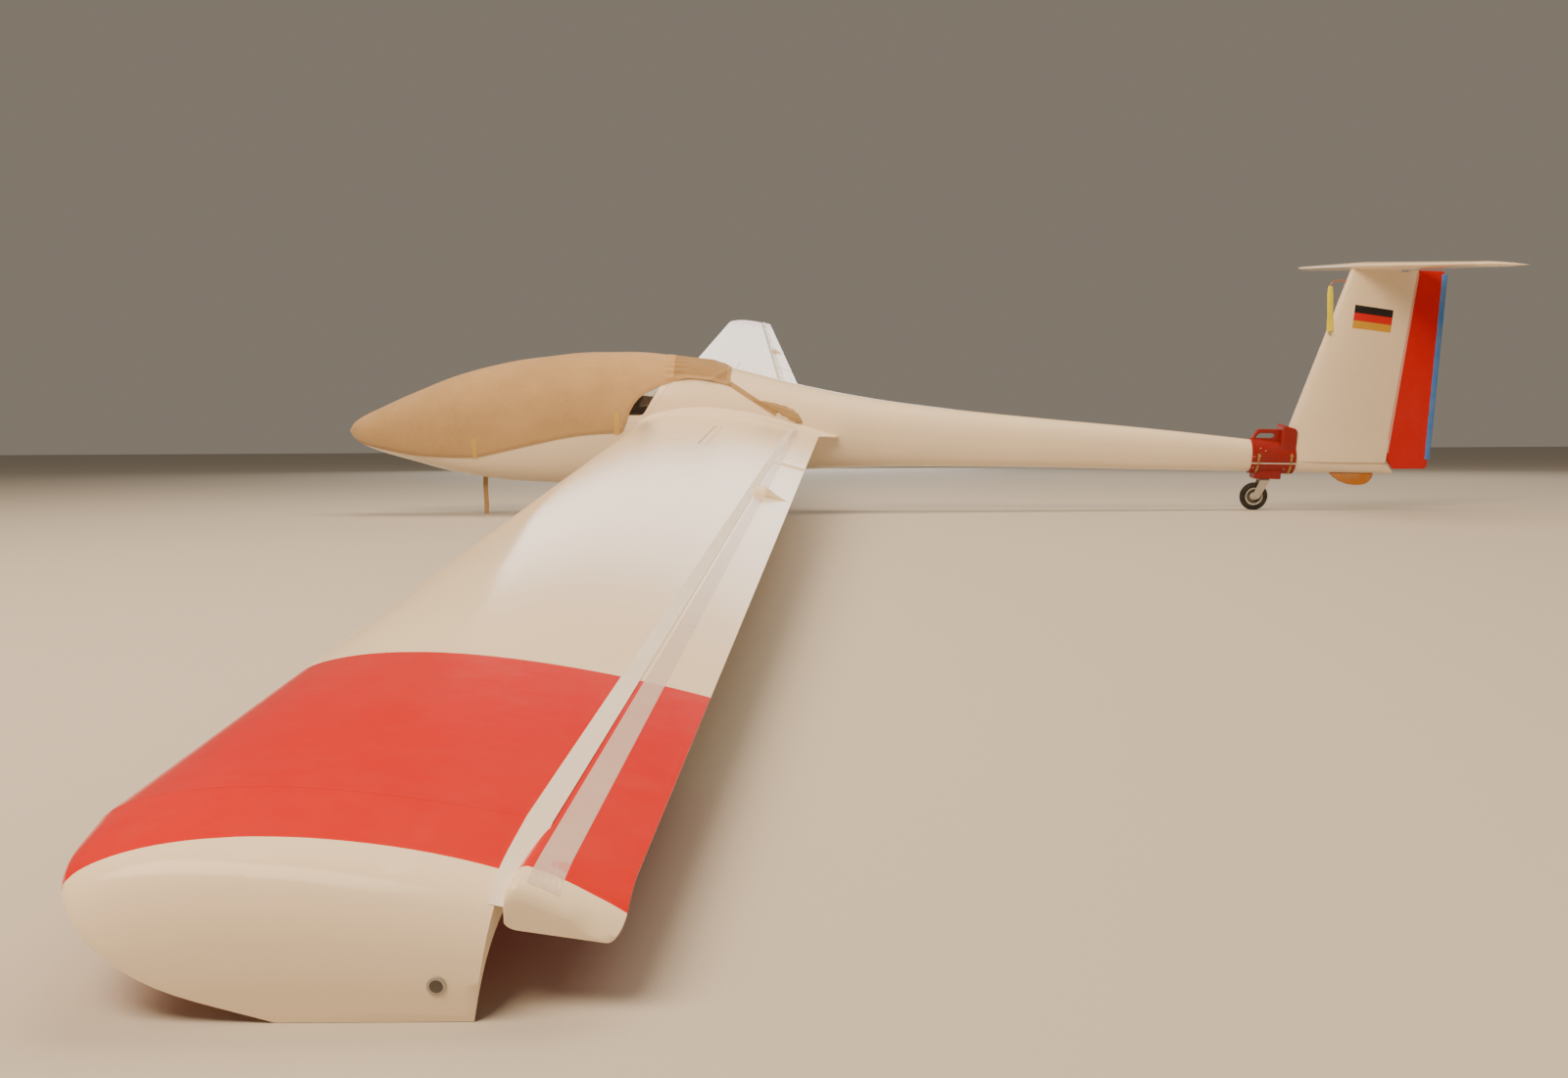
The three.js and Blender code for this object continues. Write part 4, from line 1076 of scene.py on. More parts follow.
@dataclass(frozen=True)
class Surface:
    """A flying surface between two stations of (lead, trail, height, thickness share)."""

    root: tuple[float, float, float, float]
    root_y: float
    tip: tuple[float, float, float, float]
    tip_y: float
    # y and x of the hinge line's two ends
    hinge: tuple[float, float, float, float]
    camber: float = 0.0
    wash: float = 0.0

    def at(self, y: Points | float) -> Points:
        """Lead, trail, height and thickness at a distance from the middle, on the last axis."""
        share = (np.asarray(y, float)[..., None] - self.root_y) / (self.tip_y - self.root_y)
        return np.array(self.root) + np.subtract(self.tip, self.root) * share

    def skin(self, x: Points, y: Points | float) -> tuple[Points, Points]:
        """Heights of the upper and the lower skin.

        Args:
            x: places along the glider.
            y: distance from the middle.

        Returns:
            The upper and the lower heights.
        """
        lead, trail, height, thick = np.moveaxis(self.at(y), -1, 0)
        chord = trail - lead
        f = (x - lead) / chord
        top, bottom = aerofoil(f, thick, self.camber)
        base = height - self.wash * chord * (f - 0.5) * 2
        return base + top * chord, base + bottom * chord

    def hinge_at(self, y: Points | float) -> tuple[Points, Points, Points]:
        """The hinge's x and z and the nose radius of what turns on it.

        Args:
            y: distance from the middle.

        Returns:
            The three values.
        """
        y0, x0, y1, x1 = self.hinge
        x = x0 + (x1 - x0) * (np.asarray(y, float) - y0) / (y1 - y0)
        top, bottom = self.skin(x, y)
        return x, (top + bottom) / 2, (top - bottom) / 2

    def wall(self, y: float) -> float:
        """x of the wall ahead of the hinge."""
        hinge, _, radius = self.hinge_at(y)
        return hinge - radius - WALL_GAP

    def fixed_ring(self, y: float, lips: float = 1.0, count: int = 34, cove: int = 11) -> Points:
        """Section ahead of the hinge, with a cove for the nose of what turns there.

        Args:
            y: distance from the middle.
            lips: 1 for full lips over the cove, 0 for a flat wall.
            count: points on each skin.
            cove: points round the cove.

        Returns:
            Points (x, z) from the leading edge over the top and back below.
        """
        hinge, height, radius = self.hinge_at(y)
        lead, wall = self.at(y)[0], self.wall(y)
        end = wall + (hinge - LIP_SHARE * radius - wall) * lips
        xs = lead + (end - lead) * (1 - np.cos(np.linspace(0, math.pi / 2, count)))
        top, bottom = self.skin(xs, y)
        first = math.atan2(top[-1] - height, end - hinge)
        last = 2 * math.pi + math.atan2(bottom[-1] - height, end - hinge)
        round_wall = arc((hinge, height), radius + COVE_GAP, first, last, cove)
        flat_wall = stack(wall, np.linspace(top[-1], bottom[-1], cove + 2)[1:-1])
        rear = round_wall * lips + flat_wall * (1 - lips)
        return np.concatenate([stack(xs, top), rear, stack(xs, bottom)[:0:-1]])

    def moving_ring(self, y: float, nose: int = 15, count: int = 10) -> Points:
        """Section of a flap or elevator: a round nose on the hinge and the skins to the trailing edge.

        Args:
            y: distance from the middle.
            nose: points round the nose.
            count: points on each skin.

        Returns:
            Points (x, z) from the nose's top round the front.
        """
        hinge, height, radius = self.hinge_at(y)
        xs = hinge + (self.at(y)[1] - hinge) * np.linspace(0, 1, count + 1)[1:]
        top, bottom = self.skin(xs, y)
        front = arc((hinge, height), radius, math.pi / 2, 1.5 * math.pi, nose)
        return np.concatenate([front, stack(xs, bottom), stack(xs, top)[::-1]])

    def whole_ring(self, y: float, count: int = 40) -> Points:
        """Whole section with its trailing edge.

        Args:
            y: distance from the middle.
            count: points on each skin.

        Returns:
            Points (x, z) from the leading edge over the top and back below.
        """
        lead, trail = self.at(y)[:2]
        xs = lead + (trail - lead) * (1 - np.cos(np.linspace(0, math.pi, count))) / 2
        top, bottom = self.skin(xs, y)
        return np.concatenate([stack(xs, top), stack(xs, bottom)[:0:-1]])


WING_SHAPE = Surface(
    root=(1845, 2945, 611, 0.155), root_y=362, tip=(2108, 2589, 1027, 0.125), tip_y=7340,
    hinge=(362, 2795, 7480, 2500), camber=0.025, wash=0.012,
)
TAIL_SHAPE = Surface(
    root=(6205, 6700, 1682, 0.105), root_y=0, tip=(6362, 6648, 1682, 0.1), tip_y=1270,
    hinge=(0, 6562, 1270, 6562),
)


@dataclass
class Fuselage:
    """The fuselage's skin, canopy, cockpit and what is let into them."""

    wall: float = 14.0
    canopy_wall: float = 4.0
    frame_wall: float = 24.0
    wide: float = 500.0
    seat_half: float = 208.0
    frame_gap: float = 1.2
    pane_gap: float = 0.6
    # x0, x1, half width and top of the wheel well
    well: tuple[float, float, float, float] = (1775, 2225, 82, 480)
    # side view outlines of (x, z)
    canopy: tuple = (
        (400, 1300), (400, 790), (408, 752), (440, 715), (492, 682), (560, 662), (700, 653), (900, 650),
        (1850, 655), (1900, 705), (2020, 870), (2090, 965), (2125, 1030), (2125, 1300),
    )
    glass: tuple = (
        (452, 1300), (452, 800), (460, 772), (488, 745), (535, 716), (590, 702), (720, 692), (900, 690),
        (1855, 701), (1876, 706), (1889, 722), (1980, 885), (2050, 985), (2085, 1040), (2085, 1300),
    )
    seat: tuple = (
        (1080, 100), (1080, 345), (1098, 356), (1120, 362), (1240, 345), (1380, 330), (1430, 345),
        (1470, 372), (1580, 500), (1660, 590), (1700, 640), (1728, 700), (1745, 760), (1790, 765),
        (1780, 700), (1765, 640), (1710, 555), (1640, 470), (1640, 100),
    )

    def build(self) -> None:
        """Builds and dresses the fuselage and the cockpit."""
        self.skin()
        self.canopy_frame()
        self.canopy_glass()
        self.cockpit()
        finish_nodes(TRIM, "instrument_panel", "control_stick")
        finish_nodes(STEEL, "tow_hook", "gear_fork", "main_axle")
        finish_nodes(GELCOAT, "gear_door_left", "gear_door_right")

    def skin(self) -> None:
        """Pod and boom in one smooth body, hollow at the cockpit, with the wheel well."""
        tail_end = [6400, 6450, 6500, 6536, 6560, 6580, FuselageShape.LAST]
        x = np.concatenate([np.linspace(math.sqrt(FuselageShape.FIRST), math.sqrt(6350), 110) ** 2, tail_end])
        body = tube("fuselage_skin", FuselageShape.points(x, circle(96)))
        combine(body, FuselageShape.solid("cavity", 180, 1700, -self.wall))
        shelf = FuselageShape.solid("shelf", 1640, 2150, -self.wall)
        combine(shelf, block("shelf_room", (1600, -self.wide, 520), (2200, self.wide, 1300)), "INTERSECT")
        combine(body, shelf)
        x0, x1, half, top = self.well
        combine(body, block("well_room", (x0, -half, 0), (x1, half, top)))
        combine(body, side_plate("canopy_room", self.canopy, self.wide))
        dress(body, GELCOAT, Slot.GELCOAT, "fuselage_pod", "tail_boom", weighted=True)

    def shell(self, name: str, wall: float) -> Piece:
        """Skin shell of a wall's thickness over the canopy's length."""
        outer = FuselageShape.solid(name, 120, 2300, 0.0, stations=60, columns=96)
        return combine(outer, FuselageShape.solid("inner", 110, 2320, -wall, stations=60, columns=96))

    def canopy_frame(self) -> None:
        """White frame round the glass."""
        band = side_plate("band", shrunk(self.canopy, self.frame_gap), self.wide)
        combine(band, side_plate("opening", self.glass, self.wide + 1))
        rim = combine(self.shell("canopy_rim", self.frame_wall), band, "INTERSECT")
        dress(rim, GELCOAT, Slot.GELCOAT, "canopy_frame")

    def canopy_glass(self) -> None:
        """The clear canopy."""
        pane = side_plate("pane", shrunk(self.glass, self.pane_gap), self.wide)
        bubble = combine(self.shell("canopy_bubble", self.canopy_wall), pane, "INTERSECT")
        dress(bubble, ACRYLIC, Slot.GLASS, "canopy_glass")

    def cockpit(self) -> None:
        """Seat and headrest inside the cockpit."""
        seat = side_plate("seat_pan", self.seat, self.seat_half)
        combine(seat, FuselageShape.solid("room", 900, 1900, -self.wall - self.pane_gap), "INTERSECT")
        bevel(seat, 5, 3)
        dress(seat, TRIM, Slot.TRIM, "seat_shell", angle=40)
        head = block("head_pad", (1754, -78, 766.5), (1810, 78, 883))
        bevel(head, 16, 5)
        modify(head, "SUBSURF", levels=1, render_levels=1)
        dress(head, SEAT_CLOTH, Slot.SEAT, "headrest", angle=60)


def shrunk(outline: Sequence[Sequence[float]], distance: float) -> Points:
    """Moves a closed outline's corners inwards along their bisectors.

    Args:
        outline: its corners.
        distance: how far each edge moves.

    Returns:
        The moved corners.
    """
    points = np.array(outline, float)
    after = np.roll(points, -1, axis=0)
    area = np.sum(points[:, 0] * after[:, 1] - after[:, 0] * points[:, 1])
    ahead = unit(after - points)
    normal = stack(ahead[:, 1], -ahead[:, 0]) * np.sign(area)
    total = np.roll(normal, 1, axis=0) + normal
    return points - total * 2 * distance / np.sum(total**2, axis=1)[:, None]


@dataclass
class WingHalf:
    """One wing with its tip, flap, aileron, airbrake, root fairing and hinge seals."""

    side: Side
    root_y: float = 362.0
    root_rib: float = 396.0
    tip_y: float = 7340.0
    end_y: float = 7500.0
    flap: tuple[float, float] = (408.0, 3090.0)
    aileron: tuple[float, float] = (3110.0, 7480.0)
    brake: tuple[float, float] = (1500.0, 2850.0)
    brake_half: float = 18.4
    brake_web: float = 3.0
    brake_depth: float = 88.0
    # clearance of the blade's slot at its sides, at its ends and foot, and its height over the skin
    slot_gaps: tuple[float, float, float] = (1.6, 6.0, 60.0)
    # y, half width and height of the fairing over the horn
    horn: tuple[float, float, float] = (4345.0, 47.0, 30.0)
    turn_y: float = 7405.0
    lips_end: float = 7425.0
    rake: float = 13.0
    # the aileron's outer end closes and is rounded off over these lengths
    close_length: float = 12.0
    round_length: float = 24.0
    tie_x: float = 2440.0
    tape_width: float = 20.0
    film_width: float = 26.0
    # on the upper and lower skin: the film's start aft of the hinge, and y where film and tape end
    film_start: tuple[float, float] = (4.0, 17.0)
    film_end: tuple[float, float] = (7470.0, 7420.0)
    tape_end: tuple[float, float] = (7474.0, 7420.0)
    # y, droop, front x, thickness share
    tip_rows: tuple = (
        (7340.3, 0, 2108, 1.0), (7425, 0.03, 2122, 0.97), (7466, 0.13, 2140, 0.86), (7489, 0.38, 2170, 0.6),
        (7498, 0.7, 2222, 0.34), (7500, 1.0, 2314, 0.14),
    )
    # y, growth of the section, growth of its tail share
    fairing_rows: tuple = ((140, 60, 0.24), (262, 46, 0.2), (310, 20, 0.1), (361.7, 0, 0))

    def name(self, piece: str) -> str:
        """A piece's name with its side."""
        return f"{piece}_{self.side.word}"

    def stood(self, ring: Points, y: float) -> Points:
        """A section's (x, z) points as level points on this side."""
        ring = np.asarray(ring, float)
        return stack(ring[:, 0], self.side.value * y, ring[:, 1])

    def loft(self, name: str, section: Callable[[float], Points], stations: Sequence[float]) -> Piece:
        """Body through a section's rings at stations of this side."""
        return tube(name, [self.stood(section(y), y) for y in stations])

    def build(self) -> None:
        """Builds and dresses this wing."""
        self.panel()
        self.tip()
        self.flap_piece()
        self.aileron_piece()
        self.airbrake()
        self.fairing()
        self.seals()

    def panel(self) -> None:
        """Wing panel from the root rib to the tip, with the airbrake's slot."""
        stations = np.linspace(self.root_rib, self.tip_y, 24)
        body = self.loft(self.name("wing_skin"), WING_SHAPE.fixed_ring, stations)
        combine(body, self.brake_slot())
        rib = self.loft("root_rib", WING_SHAPE.whole_ring, (self.root_y, self.root_y + 12, self.root_rib))
        whole = join(self.name("wing_skin"), [body, rib])
        plan_uv(whole)
        dress(whole, WING_GELCOAT, Slot.GELCOAT, self.name("wing"), weighted=True)

    def brake_x(self, y: float) -> float:
        """Middle of the airbrake at y."""
        return WING_SHAPE.at(y)[:2].sum() / 2

    def brake_slot(self) -> Piece:
        """Room for the airbrake, for cutting.

        Returns:
            The piece.
        """
        rings = []
        side_gap, end_gap, rise = self.slot_gaps
        half, low = self.brake_half + side_gap, -self.brake_depth - end_gap
        for y in (self.brake[0] - end_gap, self.brake[1] + end_gap):
            x = self.brake_x(y)
            z = WING_SHAPE.skin(x, y)[0]
            ring = [(x - half, z + low), (x + half, z + low), (x + half, z + rise), (x - half, z + rise)]
            rings.append(self.stood(ring, y))
        return tube("slot_room", rings)

    def airbrake(self) -> None:
        """Blade with a wide cap that lies in the wing's skin."""
        rings = []
        half, web, cap = self.brake_half, self.brake_web, 4
        for y in np.linspace(*self.brake, 12):
            x = self.brake_x(y)
            front, middle, rear = WING_SHAPE.skin(np.array([x - half, x, x + half]), y)[0]
            neck, foot = middle - cap - 1, middle - self.brake_depth
            rings.append(self.stood([
                (x - half, front), (x, middle), (x + half, rear), (x + half, rear - cap), (x + web, neck),
                (x + web, foot), (x, foot), (x - web, foot), (x - web, neck), (x - half, front - cap),
            ], y))
        blade = tube(self.name("airbrake_blade"), rings)
        plan_uv(blade)
        dress(blade, GELCOAT, Slot.GELCOAT, self.name("airbrake"), body=self.name("airbrake"))

    def tip_chords(self, row: Sequence[float]) -> tuple[float, float, float, float]:
        """Front and rear x of the tip rib, and of a row of the tip's table."""
        rear = WING_SHAPE.wall(row[0]) - self.rake * row[1]
        return WING_SHAPE.at(self.tip_y)[0], WING_SHAPE.wall(self.tip_y), row[2], rear

    def drooped(self, rib_x: Points, x: Points, row: Sequence[float]) -> tuple[Points, Points, Points]:
        """Heights of a tip station that bends down to the floor.

        Args:
            rib_x: places on the tip rib.
            x: where those places lie at the station.
            row: y, droop, front x and thickness share of the station.

        Returns:
            Middle height at the rib, and middle height and half thickness at the station.
        """
        _, droop, _, share = row
        top, bottom = WING_SHAPE.skin(rib_x, self.tip_y)
        middle, half = (top + bottom) / 2, (top - bottom) / 2 * share
        return middle, middle + (AXES.floor(x, -self.end_y) + half + FLOOR_GAP + 0.1 - middle) * droop, half

    def tip_row(self, step: Points | float) -> Points:
        """Rows of the tip's table at fractional steps.

        Args:
            step: the steps.

        Returns:
            The rows, shape (n, 4).
        """
        rows = hermite(np.arange(len(self.tip_rows)), self.tip_rows, step)
        rows[:, 0] = np.minimum(rows[:, 0], self.end_y)
        rows[:, 1] = np.clip(rows[:, 1], 0, 1)
        return rows

    def tip(self) -> None:
        """Drooped tip that rounds over and down to the floor, with its tie-down hole: a steel bush round a
        dark rod that is painted shade.
        """
        rings = []
        for row in self.tip_row(np.linspace(0, 5, 26)):
            ring = WING_SHAPE.fixed_ring(self.tip_y, lips=1 - ease((row[0] - self.lips_end) / 30))
            lead0, rear0, lead1, rear1 = self.tip_chords(row)
            x = lead1 + (ring[:, 0] - lead0) * (rear1 - lead1) / (rear0 - lead0)
            middle, centre, _ = self.drooped(ring[:, 0], x, row)
            rings.append(self.stood(stack(x, centre + (ring[:, 1] - middle) * row[3]), row[0]))
        body = tube(self.name("tip_skin"), rings)
        plan_uv(body)
        dress(body, WING_GELCOAT, Slot.GELCOAT, self.name("wing_tip"), angle=32)
        # The tie-down hole is a dark rod inside a steel bush: painted shade of the hole's depth
        s, low = self.side.value, AXES.floor(self.tie_x, -self.end_y) + 30
        depths = [(self.tie_x, s * (self.end_y + dy), low) for dy in (-9, -4, 0.15)]
        dress(rod(self.name("tie_hole_shade"), depths, 5.6, 24), HOLE_SHADE, Slot.TRIM)
        section = np.array([(5.4, -5), (5.4, 0.3), (7.6, 0.3), (7.6, -5)]) * (1, s)
        bush = turned(self.name("tie_bush"), section, (self.tie_x, s * self.end_y, low), 32)
        dress(bush, STEEL, Slot.STEEL)

    def tip_skin(self, x: Points, y: float, skin: Skin) -> Points:
        """Height of the wing's skin at a station, also on the drooped tip.

        Args:
            x: places along the glider.
            y: distance from the middle.
            skin: which skin.

        Returns:
            The heights.
        """
        if y <= self.tip_y:
            return skin.pick(WING_SHAPE.skin(x, y))
        rows = self.tip_row(np.linspace(0, 5, 200))
        out = np.maximum.accumulate(rows[:, 0])
        row = [y, *(np.interp(y, out, rows[:, k]) for k in (1, 2, 3))]
        lead0, rear0, lead1, rear1 = self.tip_chords(row)
        _, centre, half = self.drooped(lead0 + (x - lead1) * (rear0 - lead0) / (rear1 - lead1), x, row)
        return centre + skin.value * half

    def flap_piece(self) -> None:
        """Flap with a round nose."""
        body = self.loft(self.name("flap_skin"), WING_SHAPE.moving_ring, np.linspace(*self.flap, 14))
        bevel(body, 1.2, 2, 50)
        plan_uv(body)
        dress(body, WING_GELCOAT, Slot.GELCOAT, self.name("flap"), body=self.name("flap"))

    def aileron_drop(self, points: Points, y: float) -> Points:
        """Turns the aileron's outer end down behind the tip.

        Args:
            points: level points of a station.
            y: its distance from the middle.

        Returns:
            The turned points.
        """
        turn = float(np.clip((y - self.turn_y) / (self.aileron[1] - self.turn_y), 0, 1))
        if turn == 0:
            return points
        hinge, height, radius = WING_SHAPE.hinge_at(y)
        along = np.clip((points[:, 0] - (hinge - radius)) / (WING_SHAPE.at(y)[1] - hinge + radius), 0, 1)
        under = (18 + 22 * along) * (1 - math.sqrt(1 - turn**2))
        drop = np.where(points[:, 2] < height, under, 34 * turn**2.2 * along**1.3)
        moved = points - stack(0, 0, drop)
        closing = float(np.clip((y - self.aileron[1]) / self.close_length + 1, 0, 1))
        centre = moved[:, 2].mean()
        moved[:, 2] = centre + (moved[:, 2] - centre) * (1 - 0.45 * (1 - math.sqrt(1 - closing**2)))
        return moved

    def aileron_piece(self) -> None:
        """Aileron with its turned-down end and the teardrop over its horn."""
        y0, y1 = self.aileron
        end = self.turn_y + (y1 - self.turn_y) * np.sin(np.linspace(0, math.pi / 2, 20))
        stations = np.concatenate([np.linspace(y0, self.turn_y - 8, 18), end])
        rings = np.array([self.aileron_drop(self.stood(WING_SHAPE.moving_ring(y), y), y) for y in stations])
        behind = np.clip(rings[:, :, 0] - WING_SHAPE.hinge_at(stations)[0][:, None], 0, None)
        corner = np.clip((stations - y1) / self.round_length + 1, 0, 1)[:, None]
        rings[:, :, 0] -= behind * 0.16 * (1 - np.sqrt(1 - corner**2))
        whole = join(self.name("aileron_skin"), [tube(self.name("aileron_skin"), rings), self.teardrop()])
        plan_uv(whole)
        dress(whole, WING_GELCOAT, Slot.GELCOAT, self.name("aileron"), body=self.name("aileron"), angle=44)

    def teardrop(self) -> Piece:
        """Smooth fairing over the aileron's horn.

        Returns:
            The piece.
        """
        centre, half, height = self.horn
        trail = WING_SHAPE.at(centre)[1]
        start = WING_SHAPE.hinge_at(centre)[0] - 8
        angle = circle(28)
        crest, thickest = 0.34, 0.31
        rings = []
        for t in np.linspace(0.0, 1.0, 26):
            bulge = math.sin(math.pi * t / thickest / 4) ** 0.75 if t < thickest else 1.0
            shape = math.sqrt(max(1 - (1 - min(t / crest, 1.0)) ** 2, 0))
            shape *= (1 - max(t - crest, 0) / (1 - crest)) ** 1.15
            width, rise = max(half * shape * bulge, 0.4), max(height * shape**1.2, 0.3)
            x = start + (trail - 4 - start) * t
            base = WING_SHAPE.skin(min(x, trail - 2), centre)[0] - 1.0
            lift = np.where(np.sin(angle) > 0, rise, 2.0) * np.sin(angle)
            rings.append(stack(x, self.side.value * (centre + width * np.cos(angle)), base + lift))
        return tube(self.name("horn_drop"), rings)

    def fairing(self) -> None:
        """Fillet that swells from the wing's section to the fuselage's side."""
        base = WING_SHAPE.whole_ring(self.root_y)
        lead, trail, height, _ = WING_SHAPE.at(self.root_y)
        middle = height + 12
        f = (base[:, 0] - lead) / (trail - lead)
        rings = []
        for y, grow, tail in hermite(np.arange(4), self.fairing_rows, np.linspace(0, 3, 19)):
            reach = np.where(f > 0.5, 1 + tail * (f - 0.5), 1.0)
            x = lead - grow * 0.6 * (1 - f) + (base[:, 0] - lead) * reach
            rings.append(self.stood(stack(x, middle + (base[:, 1] - middle) * (1 + grow / 110)), y))
        body = tube(self.name("root_fillet"), rings)
        combine(body, FuselageShape.solid("inside", 1500, 3600, -6, stations=30))
        dress(body, GELCOAT, Slot.GELCOAT, self.name("root_fairing"), angle=40)

    def seals(self) -> None:
        """White tape ahead of the hinge line and clear film behind it, above and below."""
        for skin in Skin:
            self.tape(skin)
            self.film(skin, "flap", self.flap)
            self.film(skin, "aileron", (self.aileron[0], skin.pick(self.film_end)))

    def tape(self, skin: Skin) -> None:
        """White tape that closes the lips of the cove.

        Args:
            skin: the skin that it lies on.
        """
        inner = np.linspace(self.root_rib + 14, self.tip_y, 60)
        outer = np.linspace(self.tip_y + 4, skin.pick(self.tape_end), 16)
        rows = []
        for y in np.concatenate([inner, outer]):
            hinge, _, radius = WING_SHAPE.hinge_at(y)
            xs = hinge + np.linspace(-LIP_SHARE * radius - self.tape_width, -1.5, 5)
            rows.append(self.stood(stack(xs, self.tip_skin(xs, y, skin) + skin.value * 0.45), y))
        dress(sheet(self.name(f"seal_{skin.name.lower()}"), rows, 0.5), SEAL_WHITE, Slot.GELCOAT)

    def film(self, skin: Skin, surface: str, span: tuple[float, float]) -> None:
        """Clear film on the moving surface, aft of the hinge.

        Args:
            skin: the skin that it lies on.
            surface: the moving surface.
            span: the y range.
        """
        first = skin.pick(self.film_start)
        phase = np.random.default_rng(4).uniform(0, 2 * math.pi, 6)
        rows = []
        for y in np.linspace(span[0] + 2, span[1] - 2, 160):
            xs = WING_SHAPE.hinge_at(y)[0] + np.linspace(first, first + self.film_width, 6)
            ripple = sum(math.sin(y * 0.011 * (k + 1) * 1.7 + phase[k]) / (k + 1.5) for k in range(6))
            lift = 0.35 + 0.12 * ripple * np.sin(np.linspace(0, math.pi, 6))
            line = self.stood(stack(xs, skin.pick(WING_SHAPE.skin(xs, y))), y)
            if surface == "aileron":
                line = self.aileron_drop(line, y)
            rows.append(line + stack(0, 0, skin.value * lift))
        piece = sheet(self.name(f"{surface}_film_{skin.name.lower()}"), rows, 0.2)
        dress(piece, SEAL_FILM, Slot.GELCOAT, body=self.name(surface))


@dataclass
class Tail:
    """Fin, rudder, tailplane, elevator, probe and skid."""

    # lower and upper end of each line as (x, z)
    lead: tuple = ((5887, 560), (6217, 1652))
    hinge: tuple = ((6546, 440), (6637, 1652))
    trail: tuple = ((6822, 441), (6806, 1652))
    # half thickness at the hinge, and z, below and above
    nose: tuple = ((34, 450), (20, 1652))
    height: float = 1682.0
    half_span: float = 1270.0
    tip_length: float = 46.0
    skin_points: int = 26
    wide: float = 200.0
    # (x, z) of the flag's fore and aft corners
    flag_top: tuple = ((6253.0, 1447.4), (6492.4, 1417.5))
    flag_low: tuple = ((6244.6, 1305.1), (6487.3, 1279.8))
    skid_outline: tuple = (
        (6205, 392.6), (6480, 392.6), (6474, 372), (6460, 348), (6440, 330), (6415, 322), (6385, 320),
        (6350, 320.5), (6315, 325), (6280, 338), (6240, 362),
    )

    @staticmethod
    def line(ends: tuple, z: Points | float) -> Points:
        """x of a line through two (x, z) points at the height z."""
        (x0, z0), (x1, z1) = ends
        return x0 + (x1 - x0) * (np.asarray(z, float) - z0) / (z1 - z0)

    def hinge_at(self, z: float) -> tuple[float, float]:
        """x of the rudder's hinge and half thickness there."""
        return self.line(self.hinge, z), self.line(self.nose, z)

    def build(self) -> None:
        """Builds and dresses the tail."""
        self.fin()
        self.rudder()
        self.guard()
        self.rudder_seals()
        self.flag()
        self.tailplane()
        self.elevator()
        self.probe()
        skid = side_plate("rub_skid", self.skid_outline, 23.5)
        bevel(skid, 5, 3)
        dress(skid, SKID_ORANGE, Slot.SKID, "tail_skid", angle=40)

    def fin_ring(self, z: float, flare: float = 0.0) -> Points:
        """Fin section at a height.

        Args:
            z: the height.
            flare: widening at the fuselage.

        Returns:
            Points (x, y) from the leading edge to starboard and round.
        """
        lead = self.line(self.lead, z)
        hinge, radius = self.hinge_at(z)
        front, wall, end = lead - flare * 1.4, hinge - radius - WALL_GAP, hinge - LIP_SHARE * radius
        depth = 0.66
        xs = front + (end - front) * np.linspace(0, 1, self.skin_points) ** 1.8
        half = aerofoil((xs - front) / (wall - front) * depth, 0.13, 0)[0] * (wall - lead) / depth
        half = np.maximum(half, 0.3) + flare * np.sqrt(np.clip((xs - front) / 160, 0, 1))
        first = math.atan2(half[-1], end - hinge)
        cove = arc((hinge, 0), radius + COVE_GAP, first, 2 * math.pi - first, 9)
        return np.concatenate([stack(xs, half), cove, stack(xs, -half)[:0:-1]])

    def fin_side(self, x: Points, z: float) -> Points:
        """Half width of the fin's skin at x and z."""
        return np.interp(x, *self.fin_ring(z)[:self.skin_points].T)

    def fin(self) -> None:
        """Fin with a flared foot, under the tailplane."""
        rings = []
        for z in np.concatenate([np.linspace(440, 640, 12), np.linspace(700, 1676, 14)]):
            rings.append(stack(*self.fin_ring(z, 9.0 * ease((640 - z) / 130)).T, z))
        body = tube("fin_skin", rings)
        combine(body, FuselageShape.solid("inside", 5500, 6597, -5, stations=30))
        for outline in (
            [(5500, 300), (7000, 300), (7000, 470), (5500, 470)],
            [(6500, 1720), (6520, 1652), (6588, 1650), (6593, 1663), (6700, 1663), (6700, 1720)],
            [(6100, 1800), (6100, 1670), (6520, 1670), (6520, 1800)],
        ):
            combine(body, side_plate("cut", outline, self.wide))
        dress(body, GELCOAT, Slot.GELCOAT, "fin", angle=35)

    def rudder_ring(self, z: float, tuck: float) -> Points:
        """Rudder section at a height.

        Args:
            z: the height.
            tuck: how far its trailing edge is moved forward.

        Returns:
            Level points from the nose's starboard side round the front.
        """
        hinge, radius = self.hinge_at(z)
        t = np.linspace(0, 1, 9)[1:]
        half = radius + (2 - radius) * t + 1.5 * np.sin(math.pi * t)
        back = stack(hinge + (self.line(self.trail, z) - tuck - hinge) * t, -half)
        nose = arc((hinge, 0), radius, math.pi / 2, 1.5 * math.pi, 17)
        return stack(*np.concatenate([nose, back, back[::-1] * (1, -1)]).T, z)

    def rudder(self) -> None:
        """Red rudder with a raked heel and rounded corners."""
        foot, top = 430 + 20 * np.linspace(0, 1, 6) ** 2, 1662 - 30 * np.linspace(1, 0, 7)[1:] ** 2
        rings = []
        for z in np.concatenate([foot, np.linspace(480, 1622, 12), top]):
            share = max(np.clip((450 - z) / 20, 0, 1), np.clip((z - 1634) / 28, 0, 1))
            rings.append(self.rudder_ring(z, 26 * (1 - math.sqrt(1 - share**2))))
        body = tube("rudder_skin", rings)
        heel = [(6400, 380), (6400, 560), (6500, 560), (6604, 424), (6604, 380)]
        combine(body, side_plate("heel", heel, self.wide))
        bevel(body, 1.5, 2, 50)
        dress(body, RED_PAINT, Slot.RED, "rudder", body=Body.RUDDER, angle=35)

